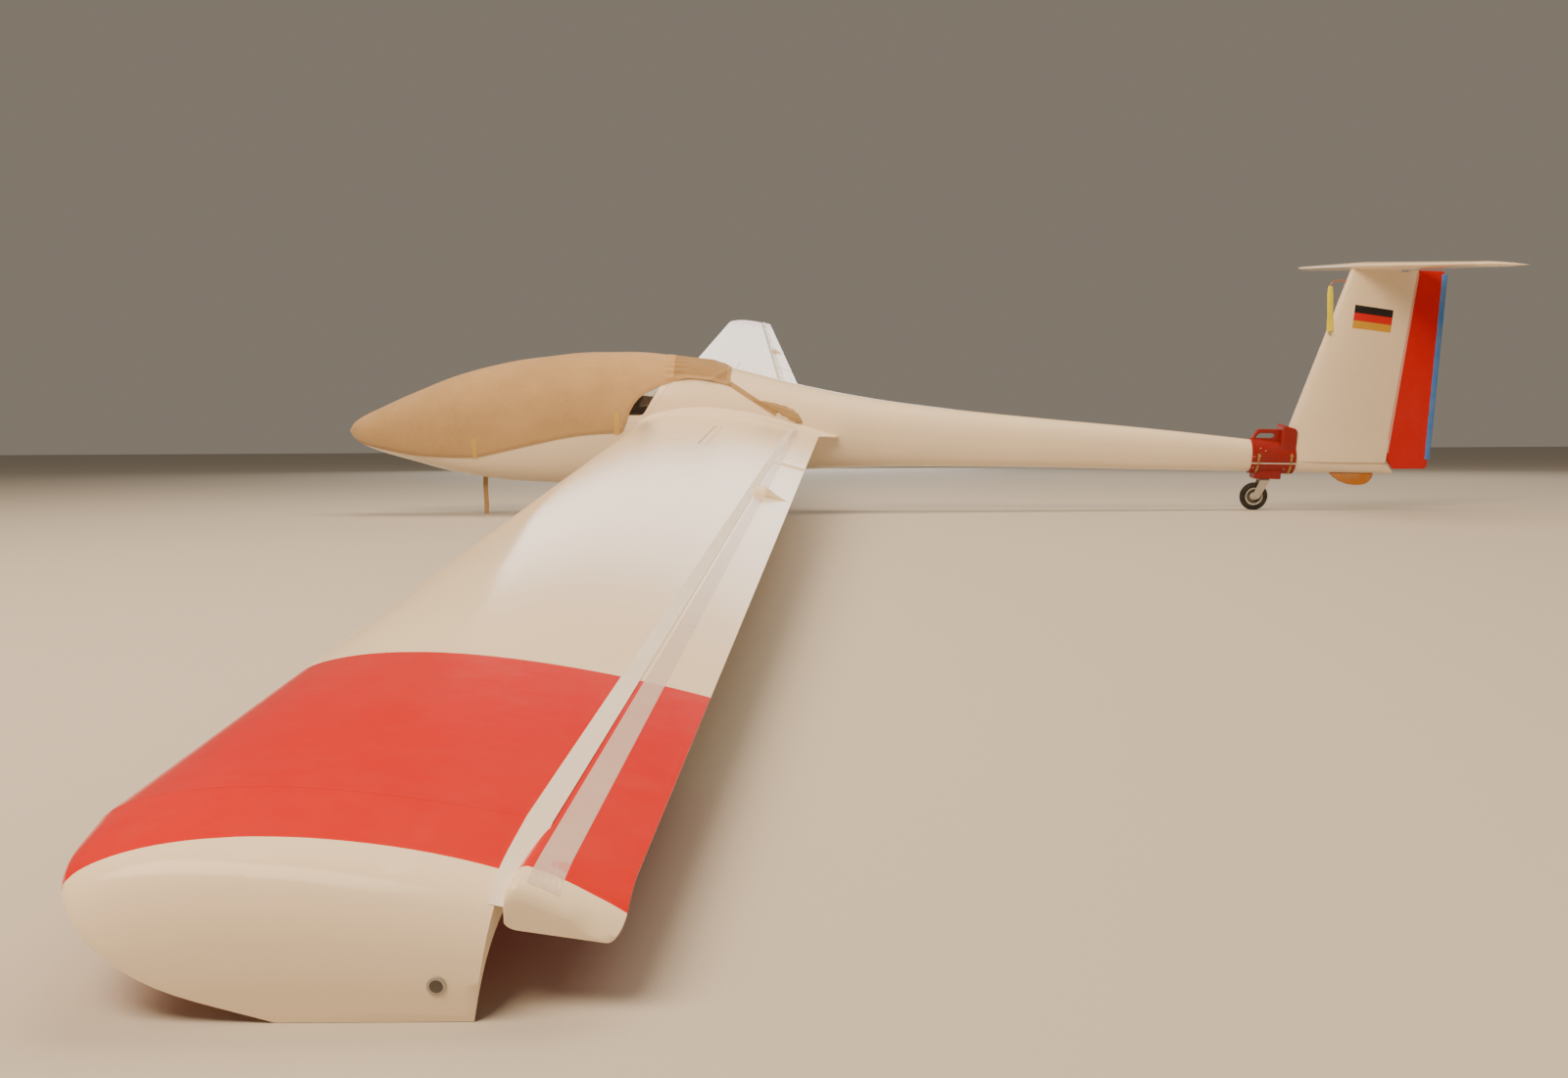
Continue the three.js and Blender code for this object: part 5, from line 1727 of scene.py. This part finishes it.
    def guard(self) -> None:
        """Soft blue guard pushed over the rudder's trailing edge."""
        low, high = 490, 1643
        angle = circle(24)
        rings = []
        for z in np.concatenate([[low, 492, 496], np.linspace(520, 1618, 40), [1637, 1641, high]]):
            pinch = 0.8 if z in (low, high) else 1.0
            x = self.line(self.trail, z) - 3 + 18.6 * pinch * signed_power(np.cos(angle), 0.75)
            y = 7.6 * pinch * signed_power(np.sin(angle), 0.75) + 0.5 * math.sin(z * 0.05)
            rings.append(stack(x, y, z))
        dress(tube("edge_guard", rings), GUARD_BLUE, Slot.GUARD, "rudder_guard", body=Body.RUDDER, angle=50)

    def rudder_seals(self) -> None:
        """Pale strips over the rudder's gap on both sides of the fin."""
        for side in Side:
            rows = []
            for z in np.linspace(530, 1646, 50):
                hinge, radius = self.hinge_at(z)
                xs = hinge + np.linspace(-LIP_SHARE * radius - 7, -1.0, 4)
                rows.append(stack(xs, side.value * (self.fin_side(xs, z) + 0.5), z))
            dress(sheet(f"rudder_seal_{side.word}", rows, 0.6), RUDDER_SEAL, Slot.GELCOAT)

    def flag(self) -> None:
        """Three bands of colour across both sides of the fin, tilted down aft."""
        top, low = np.array(self.flag_top), np.array(self.flag_low)
        along = np.linspace(0, 1, 16)[:, None]
        for side in Side:
            for band, finish in enumerate((FLAG_GOLD, FLAG_RED, FLAG_BLACK)):
                rows = []
                for share in np.linspace(band, band + 1, 5) / 3:
                    front, rear = low + (top - low) * share
                    line = front + (rear - front) * along
                    half = np.array([self.fin_side(x, z) for x, z in line]) + 0.35
                    rows.append(stack(line[:, 0], side.value * half, line[:, 1]))
                dress(sheet(f"{finish.name}_{side.word}", rows, 0.3), finish, Slot.GELCOAT)

    def tail_body(self, name: str, section: Callable[[float], Points], end: float, anchor: float) -> Piece:
        """Body across the tail with rounded tips.

        Args:
            name: the piece's name.
            section: gives the section's (x, z) points at a distance from the middle.
            end: the tip's y.
            anchor: the x that the rounding leaves in place.

        Returns:
            The piece.
        """
        half = end * np.sin(np.linspace(0, math.pi / 2, 22))
        rings = []
        for y in np.concatenate([-half[:0:-1], half]):
            out = np.clip((abs(y) - (end - self.tip_length)) / self.tip_length, 0, 1)
            share = math.sqrt(max(1 - out**2, 0.0))
            x, z = section(abs(y)).T
            x = anchor + (x - anchor) * (0.62 + 0.38 * share)
            rings.append(stack(x, y, self.height + (z - self.height) * max(share, 0.06)))
        return tube(name, rings)

    def tailplane(self) -> None:
        """Tailplane with rounded tips and a cove for the elevator."""
        section = partial(TAIL_SHAPE.fixed_ring, count=28)
        body = self.tail_body("tailplane_skin", section, self.half_span, 6540)
        dress(body, GELCOAT, Slot.GELCOAT, "tailplane", angle=35)

    def elevator(self) -> None:
        """Elevator in one piece with a notch over the rudder."""
        section = partial(TAIL_SHAPE.moving_ring, count=8)
        body = self.tail_body("elevator_skin", section, self.half_span - 2, ELEVATOR_HINGE[0])
        notch = [(6585, -60, 1500), (6585, 60, 1500), (6800, 150, 1500), (6800, -150, 1500)]
        combine(body, prism("notch", notch, (0, 0, 400)))
        bevel(body, 1.2, 2, 50)
        dress(body, GELCOAT, Slot.GELCOAT, "elevator", body=Body.ELEVATOR, angle=35)

    def probe(self) -> None:
        """Bent tube ahead of the fin, the yellow cloth sleeve on it and the sleeve's tag."""
        keys = [(6232, 0, 1587), (6160, 0, 1592), (6118, 0, 1584), (6103, 0, 1558)]
        pipe = rod("bent_probe", hermite(np.arange(4), keys, np.linspace(0, 3, 22)), 4.8)
        dress(pipe, COPPER, Slot.STEEL, "fin_probe", angle=50)
        angle = circle(24)
        rings = []
        for t in np.linspace(0, 1, 34):
            width = 13 + 9 * ease(t * 4) + 0.8 * math.sin(t * 17)
            depth = 6.2 - 2.6 * ease(t * 1.4) + 0.5 * math.sin(t * 23 + 1)
            twist = 0.35 * math.sin(t * 3.0)
            px, py = width * np.cos(angle), depth * np.sin(angle)
            x = 6103 + 9 * t + px * math.cos(twist) - py * math.sin(twist)
            y = -1 - 35 * t + px * math.sin(twist) + py * math.cos(twist)
            rings.append(stack(x, y, 1557 - 273 * t))
        dress(tube("probe_sleeve", rings), SLEEVE_YELLOW, Slot.SLEEVE, "probe_cover", angle=50)
        tag = side_plate("sleeve_tag", [(6101, 1286), (6102, 1260), (6122, 1260), (6122, 1286)], -37.4, -35.6)
        bevel(tag, 0.5)
        dress(tag, TAG_CARD, Slot.CANVAS, angle=0)


@dataclass(frozen=True)
class Wheel:
    """Tyre and hub sizes."""

    name: str
    joint: str
    radius: float
    half_width: float
    rim: float
    section: float
    bore: float
    body: Body
    grooves: int
    hub: Paint
    hub_slot: Slot

    @staticmethod
    def mirrored(half: Sequence[tuple], middle: Sequence[tuple] = ()) -> Points:
        """Closed section of (radius, offset) points from one half."""
        return np.array([*half, *middle, *((radius, -offset) for radius, offset in reversed(half))])

    def tyre_profile(self) -> Points:
        """Section of the tyre.

        Returns:
            Its (radius, offset) points.
        """
        r, w, rim, s = self.radius, self.half_width, self.rim, self.section
        wall = (rim + r) / 2
        half = [
            (rim, 0.6 * w), (rim + 3, 0.68 * w), (rim + 0.3 * (wall - rim), 0.86 * w),
            (wall - 0.15 * s, 0.975 * w), (wall, w), (r - 0.52 * s, 0.94 * w), (r - 0.42 * s, 0.84 * w),
            (r - 0.24 * s, 0.68 * w), (r - 0.1 * s, 0.45 * w),
        ]
        if not self.grooves:
            half.append((r - 0.03 * s, 0.24 * w))
        for k in range(self.grooves, 0, -1):
            at, depth = 0.4 * w * k / (self.grooves + 0.5), 0.045 * s
            base = r - 0.1 * s * (at / (0.45 * w)) ** 2
            half += [(base, at + 1.6), (base - depth, at + 1.0), (base - depth, at - 1.0), (base, at - 1.6)]
        return self.mirrored(half, [(r, 0.0)])

    def hub_profile(self) -> Points:
        """Section of the hub.

        Returns:
            Its (radius, offset) points.
        """
        bore, w, outer = self.bore, self.half_width, self.rim - 0.3
        return self.mirrored([
            (bore, 0.7 * w), (bore + 9, 0.7 * w), (bore + 12, 0.68 * w), (bore + 14, 0.6 * w),
            (bore + 18, 0.27 * w), (outer - 12, 0.25 * w), (outer - 9, 0.3 * w), (outer - 8, 0.55 * w),
            (outer - 6.5, 0.58 * w), (outer - 1.5, 0.58 * w), (outer, 0.55 * w),
        ])

    def build(self) -> None:
        """Builds and dresses the tyre, the hub and a dark disc in the hub's recess, which is painted shade.
        """
        x, _, z = AXES.level(JOINTS[self.joint]["pos_m"])
        centre = (x, 0.0, z)
        rubber = turned(f"{self.name}_rubber", self.tyre_profile(), centre, 128, pressed=True)
        dress(rubber, RUBBER, Slot.TYRE, f"{self.name}_tyre", body=self.body, angle=40)
        rim = turned(f"{self.name}_rim", self.hub_profile(), centre, 96)
        dress(rim, self.hub, self.hub_slot, f"{self.name}_hub", body=self.body, angle=35)
        # Dark disc in the hub's recess: painted shade of the recess
        low, high, w = self.bore + 17, self.rim - 9.6, self.half_width * 0.29
        recess_shade = turned(f"{self.name}_disc", [(low, -w), (low, w), (high, w), (high, -w)], centre, 96)
        dress(recess_shade, TRIM, self.hub_slot, body=self.body, angle=35)


MAIN_WHEEL = Wheel(
    "main", "main_wheel_spin", radius=182.5, half_width=62, rim=96, section=60, bore=12.3,
    body=Body.MAIN_WHEEL, grooves=3, hub=STEEL, hub_slot=Slot.STEEL,
)
DOLLY_WHEEL = Wheel(
    "dolly", "dolly_wheel_spin", radius=88.5, half_width=21, rim=56, section=18, bore=6.3,
    body=Body.DOLLY_WHEEL, grooves=0, hub=WHEEL_PALE, hub_slot=Slot.WHEEL,
)


@dataclass
class TailDolly:
    """Clamp shells round the boom, with the castor below."""

    x0: float = 5683.0
    x1: float = 5962.0
    split: float = 455.0
    wall: float = 12.0
    wide: float = 300.0
    # side view outlines of (x, z)
    hood: tuple = (
        (5863, 580), (5866, 668), (5870, 686), (5880, 693), (5950, 672), (5962, 655), (5962, 500),
        (5863, 500),
    )
    grip: tuple = ((5690, 585), (5704, 622), (5714, 640), (5724, 652), (5740, 662), (5866, 662), (5866, 585))
    grip_hole: tuple = (
        (5716, 604), (5722, 618), (5732, 630), (5746, 637), (5826, 637), (5836, 630), (5834, 618),
        (5822, 606),
    )
    clamps: tuple[float, float] = (5722.0, 5930.0)
    screws: tuple = (
        (5733, 542), (5765, 528), (5692, 496), (5697, 430), (5712, 392), (5894, 424), (5733, 500),
        (5941, 500),
    )

    def build(self) -> None:
        """Builds and dresses the dolly."""
        self.upper()
        self.lower()
        self.strip()
        self.latches()
        self.screw_heads()
        self.hinges()
        finish_nodes(STEEL, "dolly_stem")
        finish_nodes(FORK_GREY, "dolly_fork")
        DOLLY_WHEEL.build()

    def core(self) -> Piece:
        """The boom's shape, for cutting."""
        return FuselageShape.solid("core", 5590, 6060, 0.3, stations=14, columns=96)

    def shell(self, name: str, low: Sequence[float], high: Sequence[float]) -> Piece:
        """Sleeve round the boom between two corners."""
        body = combine(FuselageShape.solid(name, 5600, 6050, self.wall, stations=12, columns=96), self.core())
        return combine(body, block("room", low, high), "INTERSECT")

    def side(self, x: Points | float, z: Points | float, side: Side, proud: float) -> Points:
        """Points that stand proud of the shells."""
        return FuselageShape.side_point(x, z, side, self.wall + proud)

    def upper(self) -> None:
        """Upper shell with its hood and handle."""
        low, high = (self.x0, -self.wide, self.split + 5), (self.x1, self.wide, 900)
        half = self.shell("upper_shell", low, high)
        hood = side_plate("hood", self.hood, 62)
        bevel(hood, 10, 4, 60)
        combine(hood, self.core())
        grip = side_plate("grip", self.grip, 14)
        combine(grip, side_plate("hole", self.grip_hole, 40))
        bevel(grip, 4, 3, 50)
        combine(grip, self.core())
        combine(half, hood, "UNION")
        combine(half, grip, "UNION")
        rings = []
        for z in np.linspace(440, 800, 8):
            x, y = Tail().fin_ring(z).T
            rings.append(stack(x - 4, y * 1.04 + np.sign(y) * 1.2, z))
        combine(half, tube("fin_space", rings))
        dress(half, DOLLY_RED, Slot.DOLLY, "dolly_upper", angle=35, weighted=True)

    def lower(self) -> None:
        """Lower shell with the keel that carries the castor."""
        low, high = (self.x0 + 2, -self.wide, 300), (self.x1, self.wide, self.split - 5)
        half = self.shell("lower_shell", low, high)
        keel = block("keel", (5715, -46, 350), (5885, 46, 420))
        bevel(keel, 4, 3)
        combine(keel, self.core())
        combine(half, keel, "UNION")
        dress(half, DOLLY_RED, Slot.DOLLY, "dolly_lower", angle=35, weighted=True)

    def strip(self) -> None:
        """Pale seal between the two shells."""
        xs = np.linspace(self.x0 + 2, self.x1 - 1, 24)
        for side in Side:
            rows = [self.side(xs, self.split + dz, side, -2.0) for dz in (-4.6, 0, 4.6)]
            dress(sheet(f"shell_seal_{side.word}", rows, 2.0), SEAL_WHITE, Slot.DOLLY, angle=40)

    def latches(self) -> None:
        """Two toggle latches across the split on the port side."""
        port = Side.LEFT
        for k, x in enumerate(self.clamps):
            pieces = []
            for low, high, half in ((468, 512, 6.5), (396, 444, 7.5)):
                zs = np.linspace(low, high, 9)
                rows = [self.side(x + dx, zs, port, 1.8) for dx in (-half, 0.0, half)]
                pieces.append(sheet("latch_plate", rows, 2.2))
            for dx in (-3.6, 3.6):
                line = self.side(x + dx, np.linspace(432, 484, 12), port, 5.4)
                pieces.append(rod("latch_bow", line, 1.5, 8))
            for z, length in ((484.0, 7.0), (432.0, 8.0)):
                ends = self.side(np.linspace(x - length, x + length, 5), z, port, 4.8)
                pieces.append(rod("latch_pin", ends, 2.4, 12))
            lever = self.side(x, np.linspace(400, 434, 8), port, 6.0)
            pieces.append(rod("latch_lever", lever, np.linspace(2.6, 4.6, 8), 10))
            dress(join(f"shell_latch_{k + 1}", pieces), BRASS, Slot.STEEL, angle=40)

    def screw_heads(self) -> None:
        """Screws in the shells' port side."""
        heads = []
        for x, z in self.screws:
            start, end = (self.side(x, z, Side.LEFT, proud) for proud in (-2.0, 1.6))
            heads.append(rod("screw", np.linspace(start, end, 4), (3.6, 3.6, 3.4, 2.2), 12))
        dress(join("shell_screws", heads), WHEEL_PALE, Slot.STEEL, angle=40)

    def hinges(self) -> None:
        """Two barrel hinges that join the shells on the starboard side."""
        pieces = []
        for x in self.clamps:
            for low, high in ((436, 453), (457, 476)):
                zs = np.linspace(low, high, 5)
                rows = [self.side(x + dx, zs, Side.RIGHT, 1.4) for dx in (-20.0, 0.0, 20.0)]
                pieces.append(sheet("hinge_leaf", rows, 2.0))
            line = self.side(np.linspace(x - 20, x + 20, 5), self.split, Side.RIGHT, 3.4)
            pieces.append(rod("hinge_barrel", line, 3.4, 14))
        dress(join("shell_hinges", pieces), STEEL, Slot.STEEL, angle=40)


@dataclass
class CanopyCover:
    """Cloth cover drawn over the nose and the canopy, with its straps."""

    start: float = 4.0
    end: float = 2401.0
    gather: float = 2000.0
    columns: int = 150
    # (x, z) along the hem
    hem: tuple = (
        (0, 500), (60, 478), (120, 457), (240, 436), (365, 418), (486, 408), (600, 406), (700, 407),
        (844, 416), (950, 443), (1058, 471), (1200, 508), (1336, 542), (1483, 570), (1600, 585),
        (1680, 590), (1742, 590), (1757, 604), (1768, 635), (1783, 680), (1800, 725), (1821, 765),
        (1850, 801), (1888, 833), (1966, 873), (2062, 906), (2140, 917), (2200, 916), (2258, 908),
        (2330, 896), (2401, 881),
    )
    # (x, z) along the cloth gathered round the aft straps' ends
    bunch: tuple = ((2545, 800), (2635, 774), (2732, 738), (2800, 702), (2846, 668))
    # x, low and high of the tabs
    tab_rows: tuple = ((838.0, 413.0, 534.0), (1719.0, 586.0, 715.0))

    def build(self) -> None:
        """Builds and dresses the cover."""
        cover, girth = self.cloth()
        hems = self.hems()
        tabs = self.tabs()
        self.belly_strap()
        self.aft_straps()
        self.bunches()

    def hem_z(self, x: Points) -> Points:
        """Height of the hem at x."""
        return np.interp(x, *np.array(self.hem, float).T)

    def over(self, x: Points, z: Points, side: Side, extra: float) -> Points:
        """Points a distance over the cloth at the given x and z."""
        return FuselageShape.side_point(x, z, side, lambda at, angle: self.lift(at, angle) + extra)

    def lift(self, x: Points, angle: Points) -> Points:
        """Distance of the cloth from the skin, with its gathers and folds.

        Args:
            x: stations, shape (n, 1).
            angle: section angles, shape (n, m).

        Returns:
            Distances, shape (n, m).
        """
        arc_length = angle * 300
        base = 3.6 + 0.7 * np.sin(x / 61 + arc_length / 170) + 0.6 * np.sin(x / 143 - arc_length / 90)
        hollow = 1.5 * np.exp(-((x - 1450) / 420) ** 2) * np.sin(arc_length / 31 + x / 190 + np.sin(x / 87))
        near = ease((x - self.gather + 14) / 20) * (1 - ease((x - self.gather - 70) / 110))
        ripple = near * 4.2 * np.sin(arc_length / 7.5 + 0.9 * np.sin(x / 33) + 0.5 * np.sin(arc_length / 51))
        fold = np.clip((x - 2070) / 260, 0, 1)
        crest = np.abs(np.sin(arc_length / 74 + x / 118 + 0.6 * np.sin(x / 63)))
        tilt = np.sqrt(fold) * (17.0 * (1 - crest) ** 2.6 + 2.6 * np.sin(arc_length / 26 - x / 47))
        dent = -2.4 * np.exp(-((x - self.gather) / 8) ** 2)
        return np.clip(base + hollow + ripple + tilt + dent, 0.9, 21.0)

    def cloth(self) -> tuple[Piece, float]:
        """One sheet from hem to hem over the canopy.

        Returns:
            The piece, and its widest girth in metres.
        """
        nose = [9.3, 10.5, 13, 18, 26, 38, 54, 75, 100, 130, 165, 205, 250]
        spans = (np.arange(275, 1730, 14), np.arange(1732, 1860, 5), np.arange(1865, 2401, 9))
        x = np.concatenate([nose, *spans, [self.end]])
        t = np.linspace(0, 1, self.columns)
        edge = FuselageShape.angle_at(x, self.hem_z(x))[:, None]
        angle = edge + (math.pi - 2 * edge) * t
        lift = self.lift(x[:, None], angle)
        lift[:3] = np.array([0.6, 1.4, 2.4])[:, None]
        grid = FuselageShape.points(x, angle, lift)
        girth = np.linalg.norm(np.diff(grid, axis=1), axis=2).sum(axis=1) / 1000
        grid[:6, :, 0] -= 8 - 1.2 * np.arange(6)[:, None]
        piece = sheet("cover_cloth", grid, 1.2, stack(x[:, None] / 1000, (t - 0.5) * girth[:, None]))
        dress(piece, CANVAS, Slot.CANVAS, "canopy_cover", angle=60)
        piece.data.materials.append(CANVAS_AFT.material())
        for face in piece.data.polygons:
            face.material_index = int(AXES.level(face.center)[0] > self.gather + 52)
        return piece, float(girth.max())

    def sewn(self, name: str, grid: Points, thickness: float, finish: Cloth) -> Piece:
        """Strip of cloth sewn on the cover, from points along it and across it."""
        return dress(sheet(name, grid, thickness), finish, Slot.CANVAS, angle=50)

    def hems(self) -> list[Piece]:
        """Sewn hems along both lower edges and round the aft edge.

        Returns:
            The pieces.
        """
        table = np.array(self.hem, float)
        reach = np.concatenate([[0], np.cumsum(np.linalg.norm(np.diff(table, axis=0), axis=1))])
        at = np.arange(70, reach[-1] - 16, 7.0)
        line = stack(*(np.interp(at, reach, column) for column in table.T))
        line[2:-2] = stack(*(np.convolve(column, np.ones(5) / 5, "valid") for column in line.T))
        ahead = unit(np.gradient(line, axis=0))
        width = np.linspace(1.0, 21.0, 5)
        x = line[:, :1] - ahead[:, 1:] * width
        z = line[:, 1:] + ahead[:, :1] * width
        made = [self.sewn(f"cover_hem_{side.word}", self.over(x, z, side, 0.95), 1.0, HEM) for side in Side]
        xs = np.linspace(2399.5, 2380.0, 5)
        edge = FuselageShape.angle_at(xs, self.hem_z(xs) + 8)[:, None]
        angle = edge + (math.pi - 2 * edge) * np.linspace(0, 1, 150)
        grid = FuselageShape.points(xs, angle, self.lift(xs[:, None], angle) + 0.95)
        return [*made, self.sewn("cover_hem_aft", grid.transpose(1, 0, 2), 1.0, HEM)]

    def tabs(self) -> list[Piece]:
        """Yellow webbing tabs sewn upright at the hem.

        Returns:
            The pieces.
        """
        made = []
        for side in Side:
            for k, (x, low, high) in enumerate(self.tab_rows):
                grid = self.over(x + np.linspace(-14, 14, 5), np.linspace(low, high, 24)[:, None], side, 1.9)
                made.append(self.sewn(f"cover_tab_{k + 1}_{side.word}", grid, 1.2, YELLOW_WEB))
        return made

    def bunches(self) -> None:
        """Cloth gathered round the lower end of each aft strap."""
        t = np.linspace(0.0, 1.0, 60)
        x, z = hermite(np.linspace(0, 1, len(self.bunch)), self.bunch, t).T
        swell = np.sin(np.pi * np.clip(t, 0.02, 0.985) ** 1.5) ** 0.8
        fold = 1 + 0.07 * np.sin(t * 41) + 0.05 * np.sin(t * 87 + 1)
        angle = circle(48)
        crease = 1 + 0.16 * np.sin(angle * 7 + t[:, None] * 9) * np.sin(angle)
        wide = (3 + 29 * swell * fold)[:, None] * np.cos(angle)
        thick = (2 + 9 * swell)[:, None] * np.sin(angle) * crease
        for side in Side:
            middle = FuselageShape.side_point(x, z, side, 4.0)[:, None]
            along, out = (0.35, -0.40 * side.value, 0.85), (0.0, 0.90 * side.value, 0.43)
            rings = middle + wide[..., None] * along + thick[..., None] * out
            dress(tube(f"strap_bunch_{side.word}", rings), WEBBING, Slot.CANVAS, angle=70)

    def band(self, name: str, first: Points, second: Points, thickness: float, node: str) -> None:
        """Webbing between two edges of points, shape (n, 3)."""
        grid = first[:, None] + (second - first)[:, None] * np.linspace(0, 1, 5)[:, None]
        dress(sheet(name, grid, thickness), WEBBING, Slot.CANVAS, node, angle=40)

    def belly_strap(self) -> None:
        """Strap from the starboard hem round the belly, its loose end hanging to the floor."""
        low = AXES.floor(848, 0) + 3.5
        edges = []
        for x in (833.0, 863.0):
            hem = FuselageShape.angle_at(x, 426.0)[0]
            skin = FuselageShape.points(x, np.linspace(hem, -math.pi / 2 - 0.004, 40), 1.8)[0]
            drop = np.linspace(skin[-1, 2] - 4, low, 24)
            sway, turn = 2.2 * np.sin((drop - low) / 38.0), 0.6 * np.sin((drop - low) / 21.0)
            edges.append(np.concatenate([skin, stack(x + sway, -2.5 + turn, drop)]))
        self.band("belly_webbing", *edges, 2.0, "belly_strap")

    def aft_straps(self) -> None:
        """Straps from the cover's aft corners down to the wing roots."""
        t = np.linspace(0, 1, 40)
        xs, zs = 2398 + (2687 - 2398) * t, 896 + (717 - 896) * t
        wave = (1.2 + 0.8 * np.abs(np.sin(t * 19)) * (t > 0.45))[:, None]
        for side in Side:
            out = wave * (0, side.value, 0.25)
            edges = [FuselageShape.side_point(xs + k * 7, zs + k * 12, side) + out for k in (1, -1)]
            self.band(f"corner_webbing_{side.word}", *edges, 1.6, f"aft_strap_{side.word}")


@dataclass
class Studio:
    """Pale floor, soft lights and the camera at the photograph's place."""

    eye: tuple[float, float, float] = (-0.7061, -8.4575, 0.4469)
    yaw: float = 0.0941
    pitch: float = -4.1325
    roll: float = -0.3124
    lens: float = 30.805
    floor_size: float = 120.0
    # name, place, target, size, power, colour
    boxes: tuple = (
        ("key_box", (-4.0, -9.0, 6.5), (0, 0, 0.5), 6.0, 1200.0, (1.0, 0.77, 0.53)),
        ("top_box", (0.5, -1.0, 8.5), (0.5, -1.0, 0.5), 10.0, 1050.0, (1.0, 0.79, 0.57)),
        ("rim_box", (6.0, 9.0, 6.0), (1.0, 0, 0.6), 6.0, 300.0, (1.0, 0.88, 0.74)),
        ("window_box", (-1.5, 14.0, 2.9), (-1.0, 0, 0.6), 8.0, 340.0, (1.0, 0.97, 0.92)),
    )

    def build(self) -> None:
        """Builds the stage."""
        self.floor()
        self.world()
        self.lights()
        self.camera()

    def floor(self) -> None:
        """A plain pale floor."""
        deselect()
        bpy.ops.mesh.primitive_plane_add(size=self.floor_size)
        floor = started("stage_floor")
        material = bpy.data.materials.new("stage_floor")
        material.use_nodes = True
        fill(material.node_tree.nodes["Principled BSDF"], Base_Color=(0.51, 0.47, 0.41, 1), Roughness=0.8)
        floor.data.materials.append(material)

    def world(self) -> None:
        """Soft even light from all round."""
        world = bpy.data.worlds.new("studio")
        world.use_nodes = True
        fill(world.node_tree.nodes["Background"], Color=(0.80, 0.68, 0.54, 1), Strength=0.28)
        bpy.context.scene.world = world

    def lights(self) -> None:
        """Large soft boxes overhead and in front."""
        for name, place, target, size, power, colour in self.boxes:
            data = bpy.data.lights.new(name, "AREA")
            data.shape = "RECTANGLE"
            data.size, data.size_y = size, size * 0.6
            data.energy = power
            data.color = colour
            lamp = bpy.data.objects.new(name, data)
            lamp.location = place
            lamp.rotation_euler = (Vector(target) - Vector(place)).to_track_quat("-Z", "Y").to_euler()
            lamp.visible_glossy = name in ("key_box", "window_box")
            lamp.visible_camera = False
            bpy.context.scene.collection.objects.link(lamp)

    def camera(self) -> None:
        """Camera at the photograph's angle."""
        yaw, pitch, roll = (math.radians(angle) for angle in (self.yaw, self.pitch, self.roll))
        ahead = Vector((math.sin(yaw) * math.cos(pitch), math.cos(yaw) * math.cos(pitch), math.sin(pitch)))
        level = Vector((math.cos(yaw), -math.sin(yaw), 0))
        over = level.cross(ahead)
        right = level * math.cos(roll) + over * math.sin(roll)
        up = over * math.cos(roll) - level * math.sin(roll)
        data = bpy.data.cameras.new("photo_camera")
        data.sensor_width = 36
        data.lens = self.lens
        camera = bpy.data.objects.new("photo_camera", data)
        turn = np.eye(4)
        turn[:3] = stack(right, up, -ahead, self.eye)
        camera.matrix_world = Matrix(turn.tolist())
        bpy.context.scene.collection.objects.link(camera)
        bpy.context.scene.camera = camera


def main() -> None:
    """Builds the whole glider in order."""
    logging.basicConfig(level=logging.INFO, format="%(name)s: %(message)s")
    Studio().build()
    Fuselage().build()
    for side in Side:
        WingHalf(side).build()
    Tail().build()
    MAIN_WHEEL.build()
    TailDolly().build()
    CanopyCover().build()


if __name__ == "__main__":
    main()
